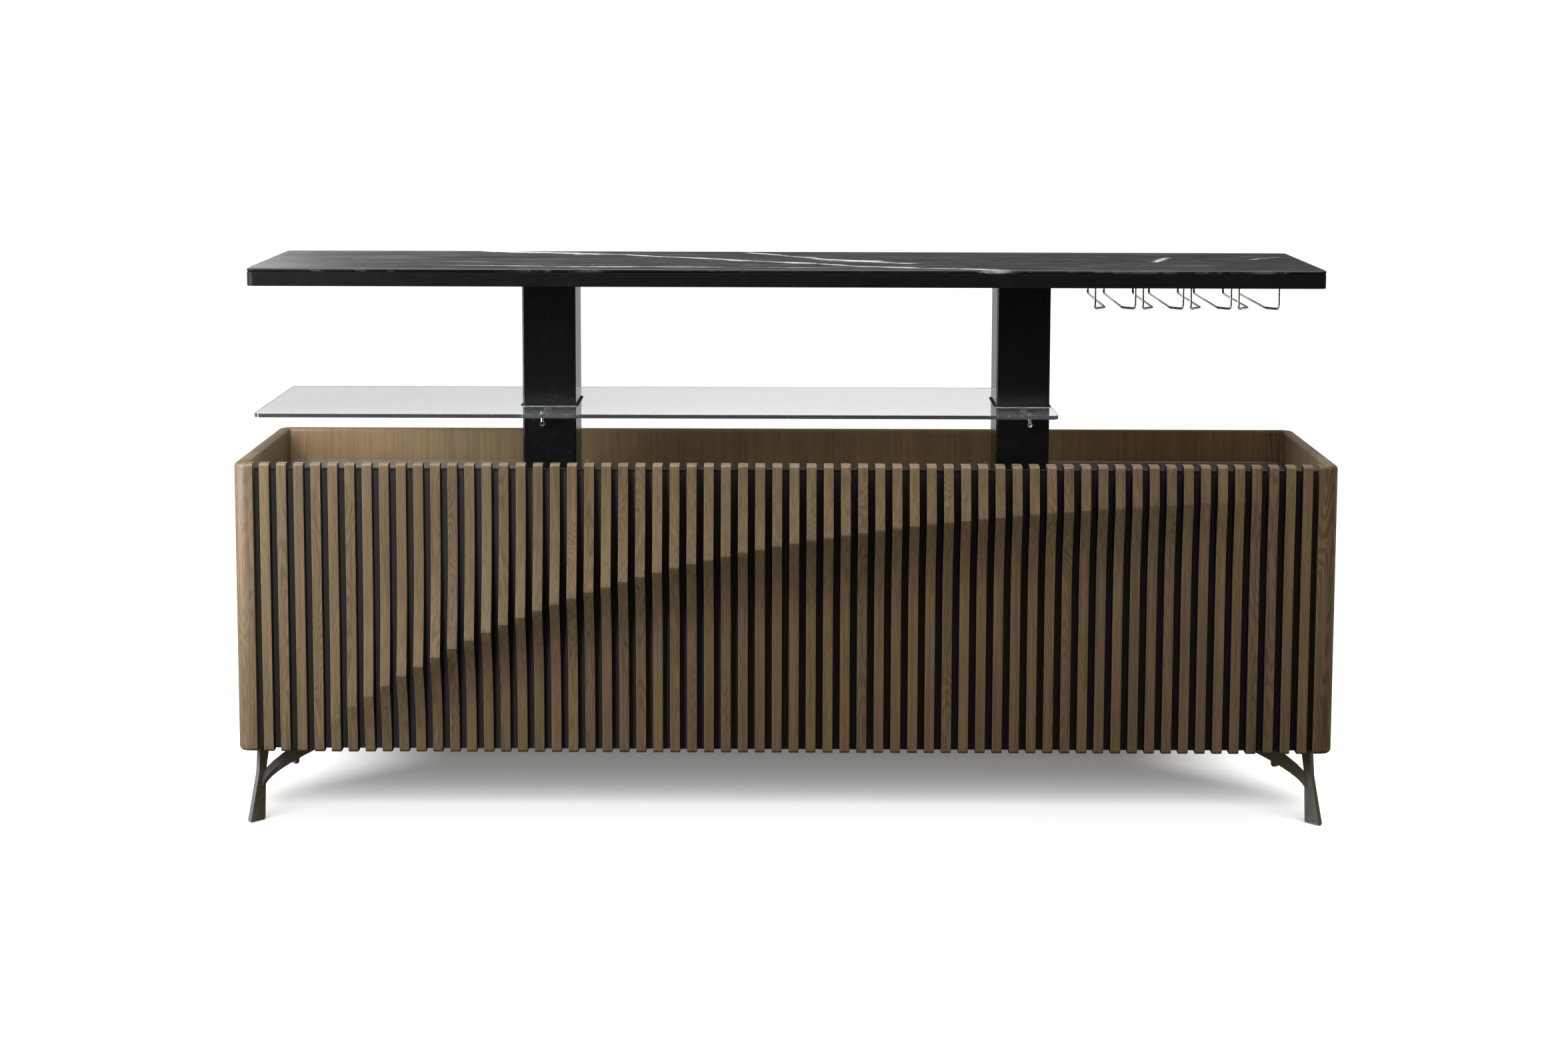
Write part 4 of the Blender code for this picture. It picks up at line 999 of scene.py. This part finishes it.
plain_support = model_support()
for side_name, side in (("left", -1), ("right", 1)):
    for level in ("upper", "lower"):
        for end_name, end in (("front", -1), ("rear", 1)):
            name = f"shelf_support_{level}_{side_name}_{end_name}"
            low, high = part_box(name)
            support = copy_of(plain_support, f"support_{level}_{side_name}_{end_name}")
            flip = Matrix.Diagonal((-side, -end, 1, 1))
            support.data.transform(flip)
            if side * end < 0:
                support.data.flip_normals()
            block_x = high.x - CLAMP_HALF_WIDTH if side < 0 else low.x + CLAMP_HALF_WIDTH
            face_y = high.y if end < 0 else low.y
            support.data.transform(Matrix.Translation((block_x, face_y, high.z)))
            place(support, chrome, "chrome", "lift", name)
bpy.data.objects.remove(plain_support)

# Stemware racks, each one bent wire, its half given as distances from the rack's middle line

RACK_COUNT = 4
RACK_FIRST = 0.655
RACK_PITCH = 0.0954
RACK_WIRE = 0.0025
RACK_BEND = 0.007
RACK_HALF = (
    (0.040, -0.182, 1.0897),
    (0.040, -0.182, 1.04775),
    (0.017, -0.156, 1.04775),
    (0.017, 0.158, 1.04775),
    (0.017, 0.158, 1.08745),
)


def bend_wire(name, corners, bend, radius):
    """A wire along straight runs, its corners rounded, drawn out to its thickness."""
    mesh = bpy.data.meshes.new(name)
    mesh.from_pydata(corners, [(i, i + 1) for i in range(len(corners) - 1)], [])
    wire = bpy.data.objects.new(name, mesh)
    bpy.context.scene.collection.objects.link(wire)
    open_mesh(wire)
    bpy.ops.mesh.select_mode(type="VERT")
    shape = bmesh.from_edit_mesh(mesh)
    for vertex in shape.verts:
        vertex.select_set(len(vertex.link_edges) == 2)
    bmesh.update_edit_mesh(mesh)
    bpy.ops.mesh.bevel(offset=bend, segments=WIRE_BEND_STEPS, profile=0.5, affect="VERTICES")
    close_mesh()
    bpy.ops.object.convert(target="CURVE")
    wire.data.bevel_depth = radius
    wire.data.bevel_resolution = ROUND_WIRE_STEPS
    wire.data.use_fill_caps = True
    bpy.ops.object.convert(target="MESH")
    soften(wire, WIRE_SMOOTH_BELOW)
    return wire


for number in range(RACK_COUNT):
    x = RACK_FIRST + number * RACK_PITCH
    corners = [(x - away, y, z) for away, y, z in RACK_HALF]
    corners += [(x + away, y, z) for away, y, z in reversed(RACK_HALF)]
    rack = bend_wire(f"rack_{number + 1}", corners, RACK_BEND, RACK_WIRE)
    place(rack, chrome, "chrome", "lift", f"glass_rack_{number + 1}")

# Screws on the column feet and under the leg plates, in from the plates' corners

COLUMN_SCREWS_X = (0.4265, 0.5415)
COLUMN_SCREWS_Y = (-0.072, 0.084)
COLUMN_FOOT_PLATE = 0.006
LEG_PLATE_SIDE = 1.0738
LEG_PLATE_FRONT = -0.2058
LEG_PLATE_REAR = 0.2418
LEG_PLATE_UNDERSIDE = 0.1557
LEG_SCREWS = ((0.012, 0.062), (0.055, 0.011), (0.168, 0.011), (0.168, 0.062))

plain_screw = model_screw()
foot_plate_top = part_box("lift_mast_left")[0].z + COLUMN_FOOT_PLATE
heads = []
for side in (-1, 1):
    for x in COLUMN_SCREWS_X:
        for y in COLUMN_SCREWS_Y:
            heads.append(copy_of(plain_screw, "head", (side * x, y, foot_plate_top)))
column_screws = join("column_foot_screws", heads)
place(column_screws, bare_steel, "bare_steel", "cabinet")

plain_screw.data.transform(Matrix.Rotation(math.pi, 4, "X"))
heads = []
for side in (-1, 1):
    for inward, deep in LEG_SCREWS:
        for y in (LEG_PLATE_FRONT + deep, LEG_PLATE_REAR - deep):
            spot = (side * (LEG_PLATE_SIDE - inward), y, LEG_PLATE_UNDERSIDE)
            heads.append(copy_of(plain_screw, "head", spot))
leg_screws = join("leg_plate_screws", heads)
place(leg_screws, bare_steel, "bare_steel", "cabinet")
bpy.data.objects.remove(plain_screw)

# Three contact blades in the mains inlet's recess

INLET_MIDDLE = Vector((0, 0.264, 0.2003))
BLADE_PLACES = ((-0.007, -0.0015), (0.0, 0.0025), (0.007, -0.0015))
BLADE_LOW = Vector((-0.001, -0.0005, -0.002))
BLADE_HIGH = Vector((0.001, 0.0100, 0.002))

blades = []
for aside, rise in BLADE_PLACES:
    middle = INLET_MIDDLE + Vector((aside, 0, rise))
    blade = add_block("blade", middle + BLADE_LOW, middle + BLADE_HIGH)
    round_edges(blade, CRISP_EDGE)
    blades.append(blade)
inlet_blades = join("inlet_blades", blades)
soften(inlet_blades)
place(inlet_blades, bare_steel, "bare_steel", "cabinet")

# Motor leads, from the control box over the floor panel to the drives, hidden in the body

LEAD_START = Vector((0.1103, 0.2227, 0.200))
LEAD_END = Vector((0.4537, -0.024, 0.1973))
LEAD_ON_FLOOR = 0.1813
LEAD_POINTS = 24
LEAD_RADIUS = 0.003

# Where along the lead each move starts, and how much of the lead it takes
LEAD_FORWARD = (0.10, 0.62)
LEAD_DOWN = (0.03, 0.22)
LEAD_UP = (0.52, 0.24)


def lead_route(side):
    points = []
    for number in range(LEAD_POINTS + 1):
        share = number / LEAD_POINTS
        forward, down, up = (
            soft_step((share - start) / run) for start, run in (LEAD_FORWARD, LEAD_DOWN, LEAD_UP)
        )
        x = LEAD_START.x + (LEAD_END.x - LEAD_START.x) * share
        y = LEAD_START.y + (LEAD_END.y - LEAD_START.y) * forward
        z = LEAD_START.z + (LEAD_ON_FLOOR - LEAD_START.z) * down
        z += (LEAD_END.z - LEAD_ON_FLOOR) * up
        points.append(Vector((side * x, y, z)))
    return points


for side_name, side in (("left", -1), ("right", 1)):
    route = lead_route(side)
    line = bpy.data.curves.new(f"lead_{side_name}", "CURVE")
    line.dimensions = "3D"
    spline = line.splines.new("POLY")
    spline.points.add(len(route) - 1)
    for point, spot in zip(spline.points, route):
        point.co = (*spot, 1)
    line.bevel_depth = LEAD_RADIUS
    line.bevel_resolution = ROUND_WIRE_STEPS
    line.use_fill_caps = True
    spline.use_smooth = True
    lead = bpy.data.objects.new(f"lead_{side_name}", line)
    bpy.context.scene.collection.objects.link(lead)
    place(lead, black_plastic, "black_plastic", "cabinet", f"motor_lead_{side_name}")

# Camera

forward = Vector(
    (
        math.sin(CAMERA_YAW) * math.cos(CAMERA_PITCH),
        math.cos(CAMERA_YAW) * math.cos(CAMERA_PITCH),
        -math.sin(CAMERA_PITCH),
    )
)
level = Vector((math.cos(CAMERA_YAW), -math.sin(CAMERA_YAW), 0))
upward = level.cross(forward)
across = level * math.cos(CAMERA_ROLL) + upward * math.sin(CAMERA_ROLL)
upright = upward * math.cos(CAMERA_ROLL) - level * math.sin(CAMERA_ROLL)
camera_data = bpy.data.cameras.new("camera")
camera_data.lens = CAMERA_LENS
camera_data.sensor_width = SENSOR_WIDTH
camera_data.shift_y = CAMERA_SHIFT
camera_data.clip_start = CLIP_START
camera_data.clip_end = CLIP_END
camera = bpy.data.objects.new("camera", camera_data)
bpy.context.scene.collection.objects.link(camera)
turned = Matrix((across, upright, -forward)).transposed().to_4x4()
camera.matrix_world = Matrix.Translation(CAMERA_PLACE) @ turned
bpy.context.scene.camera = camera

# Floor, seen white with the photograph's soft shadow, which is partly real and partly painted by
# the floor's own glow and colour; dim for all light that it sends back

FLOOR_SIZE = 120
FLOOR_MIRRORED = 0.45
FRONT_COLOUR = (0.98, 0.988, 1.0, 1)
REAR_PAINTED_SHADE = (0.55, 0.635, 0.79, 1)
GLOW_GREEN = 0.008
GLOW_BLUE = 0.030
SHADOW_HALF_DEPTH = 0.55

# What is added toward the front, and what the shadow has everywhere
SHADOW_HALF_LENGTH = (0.29, 0.73)
SHADOW_FADING = (-0.20, 0.42)

# Changes over the floor: where each begins and ends in metres, then its value at both
FRONT_BAND = (-0.06, 0.29, 1.0, 0.0)
REAR_SHADE_BAND = (0.10, 0.50)
MIRRORED_BAND = (0.3, 1.2)
BOUNCE_BAND = (0.15, 0.5, 0.05, 0.30)

clear_selection()
bpy.ops.mesh.primitive_plane_add(size=FLOOR_SIZE, location=(0, 0, 0))
studio_floor = bpy.context.object
studio_floor.name = "studio_floor"
settle(studio_floor)
floor_finish, tree, shader, place_in = new_material("pale floor", Roughness=0.9)
shader.inputs["Specular IOR Level"].default_value = 0.0
path = node(tree, "ShaderNodeLightPath").outputs
seen = maths(tree, "MAXIMUM", path["Is Camera Ray"], path["Is Transmission Ray"])
parts = split(tree, place_in)
mirrored = maths(tree, "MULTIPLY", path["Is Glossy Ray"], ease(tree, parts[1], *MIRRORED_BAND))
seen = maths(tree, "MAXIMUM", seen, maths(tree, "MULTIPLY", mirrored, FLOOR_MIRRORED))
toward_front = ease(tree, parts[1], *FRONT_BAND)
half_length = maths(tree, "MULTIPLY_ADD", toward_front, *SHADOW_HALF_LENGTH)
aside = maths(tree, "SUBTRACT", maths(tree, "ABSOLUTE", parts[0]), half_length)
aside = maths(tree, "MAXIMUM", aside, 0.0)
beyond = maths(tree, "SUBTRACT", maths(tree, "ABSOLUTE", parts[1]), SHADOW_HALF_DEPTH)
beyond = maths(tree, "MAXIMUM", beyond, 0.0)
outside = node(tree, "ShaderNodeCombineXYZ", {0: aside, 1: beyond}).outputs[0]
outside = vector_maths(tree, "LENGTH", outside)["Value"]
fading = maths(tree, "MULTIPLY_ADD", toward_front, *SHADOW_FADING)
# Painted shadow: where the floor is seen, it glows white around the body and fades in toward it,
# which draws the shadow's outline
shadow_edge_glow = maths(tree, "MULTIPLY", ease(tree, outside, 0.0, fading), seen)
# Painted shade: the seen colour turns darker and bluer toward the rear, under the body
seen_colour_with_painted_shade = blend_colour(tree, ease(tree, parts[1], *REAR_SHADE_BAND), FRONT_COLOUR, REAR_PAINTED_SHADE)
dim = grey(tree, ease(tree, aside, *BOUNCE_BAND))
tree.links.new(blend_colour(tree, seen, dim, seen_colour_with_painted_shade), shader.inputs["Base Color"])
# Painted light: a faint bluish glow where the floor is seen cancels the warm sky light in its shade
green = maths(tree, "MULTIPLY_ADD", seen, GLOW_GREEN, shadow_edge_glow)
blue = maths(tree, "MULTIPLY_ADD", seen, GLOW_BLUE, shadow_edge_glow)
glow = node(tree, "ShaderNodeCombineXYZ", {0: shadow_edge_glow, 1: green, 2: blue}).outputs[0]
tree.links.new(glow, shader.inputs["Emission Color"])
shader.inputs["Emission Strength"].default_value = 1.0
studio_floor.data.materials.append(floor_finish)

# Studio lamps: place, aim, width and height, watts, and what they light
# The floor has a lamp of its own, so that no hard shadow falls on it

LIGHTS = {
    "key left": ((-2.3, -1.8, 2.6), (-0.6, 0.0, 0.5), (1.2, 1.2), 42.0, "part"),
    "close left": ((-2.0, -0.75, 0.9), (-1.0, -0.24, 0.5), (0.6, 0.8), 19.0, "part"),
    "overhead strip": ((-0.2, -0.75, 3.0), (-0.1, -0.25, 0.5), (2.4, 0.4), 48.0, "part"),
    "stone sheen": ((-2.0, 1.7, 1.9), (-0.9, 0.0, 1.12), (1.0, 1.0), 84.0, "stone"),
    "between slats": ((-0.80, -1.5, 0.85), (-0.75, -0.22, 0.6), (0.3, 0.3), 5.6, "backing"),
    "rear wash": ((-1.15, -0.75, 1.12), (-1.12, 0.26, 0.66), (0.4, 0.2), 1.2, "rear"),
    "floor front": ((0.0, -3.0, 1.4), (0.0, 0.0, 1.4), (8.0, 2.8), 500.0, "floor"),
}
LAMP_COLOURS = {"part": (0.94, 1.0, 1.11), "rear": (1.05, 0.96, 0.82)}
LAMP_SPREADS = {"rear": 70}
FULL_SPREAD = 180


def light_group(name, pieces):
    group = bpy.data.collections.new(name)
    for piece in pieces:
        group.objects.link(bpy.data.objects[piece])
    return group


panel_numbers = range(1, len(PANEL_SLATS) + 1)
receivers = {
    "floor": light_group("lit by floor lamps", ["studio_floor"]),
    "part": light_group("lit by part lamps", ["studio_floor"]),
    "stone": light_group("lit by the sheen lamp", ["marble_top"]),
    "rear": light_group("lit by the rear wash", ["rear", "post_rear_left"]),
    "backing": light_group(
        "lit by the lamp between slats", [f"backing_{number}" for number in panel_numbers]
    ),
}

# A group that only leaves the floor out lights everything else
receivers["part"].collection_objects[0].light_linking.link_state = "EXCLUDE"

for name, (spot, aim, size, power, lit) in LIGHTS.items():
    lamp_data = bpy.data.lights.new(name, "AREA")
    lamp_data.shape = "RECTANGLE"
    lamp_data.size, lamp_data.size_y = size
    lamp_data.energy = power
    lamp_data.spread = math.radians(LAMP_SPREADS.get(lit, FULL_SPREAD))
    lamp = bpy.data.objects.new(name, lamp_data)
    lamp.location = spot
    lamp.rotation_euler = (Vector(aim) - Vector(spot)).to_track_quat("-Z", "Y").to_euler()
    lamp.visible_camera = False
    lamp_data.color = LAMP_COLOURS.get(lit, (1, 1, 1))
    lamp.light_linking.receiver_collection = receivers[lit]
    bpy.context.scene.collection.objects.link(lamp)

# Surroundings: white when looked at, dimmer toward the front and left where surfaces mirror them

SKY_LIGHT = 0.21
SKY_LIGHT_COLOUR = (1.29, 0.96, 0.43, 1)

# Changes over the mirrored sky: the directions where each begins and ends, then its value at both
SKY_TO_RIGHT = (-0.18, 0.02, 0.40, 0.62)
SKY_TO_REAR = (-0.2, 0.5, 0.12, 1.0)

world = bpy.data.worlds.new("studio")
bpy.context.scene.world = world
world.use_nodes = True
tree = world.node_tree
sky = tree.nodes["Background"]
heading = node(tree, "ShaderNodeTexCoord").outputs["Generated"]
parts = split(tree, heading)
toward_right = ease(tree, parts[0], *SKY_TO_RIGHT)
mirrored = maths(tree, "MULTIPLY", ease(tree, parts[1], *SKY_TO_REAR), toward_right)
path = node(tree, "ShaderNodeLightPath").outputs
strength = maths(tree, "MULTIPLY", mirrored, maths(tree, "SUBTRACT", 1.0, path["Is Diffuse Ray"]))
strength = maths(tree, "MULTIPLY_ADD", path["Is Diffuse Ray"], SKY_LIGHT, strength)
strength = maths(tree, "MAXIMUM", strength, path["Is Camera Ray"])
strength = maths(tree, "MAXIMUM", strength, path["Is Transmission Ray"])
tree.links.new(strength, sky.inputs["Strength"])
shade = blend_colour(tree, path["Is Diffuse Ray"], UNTINTED, SKY_LIGHT_COLOUR)
tree.links.new(shade, sky.inputs["Color"])
bpy.context.scene.view_settings.view_transform = "Standard"
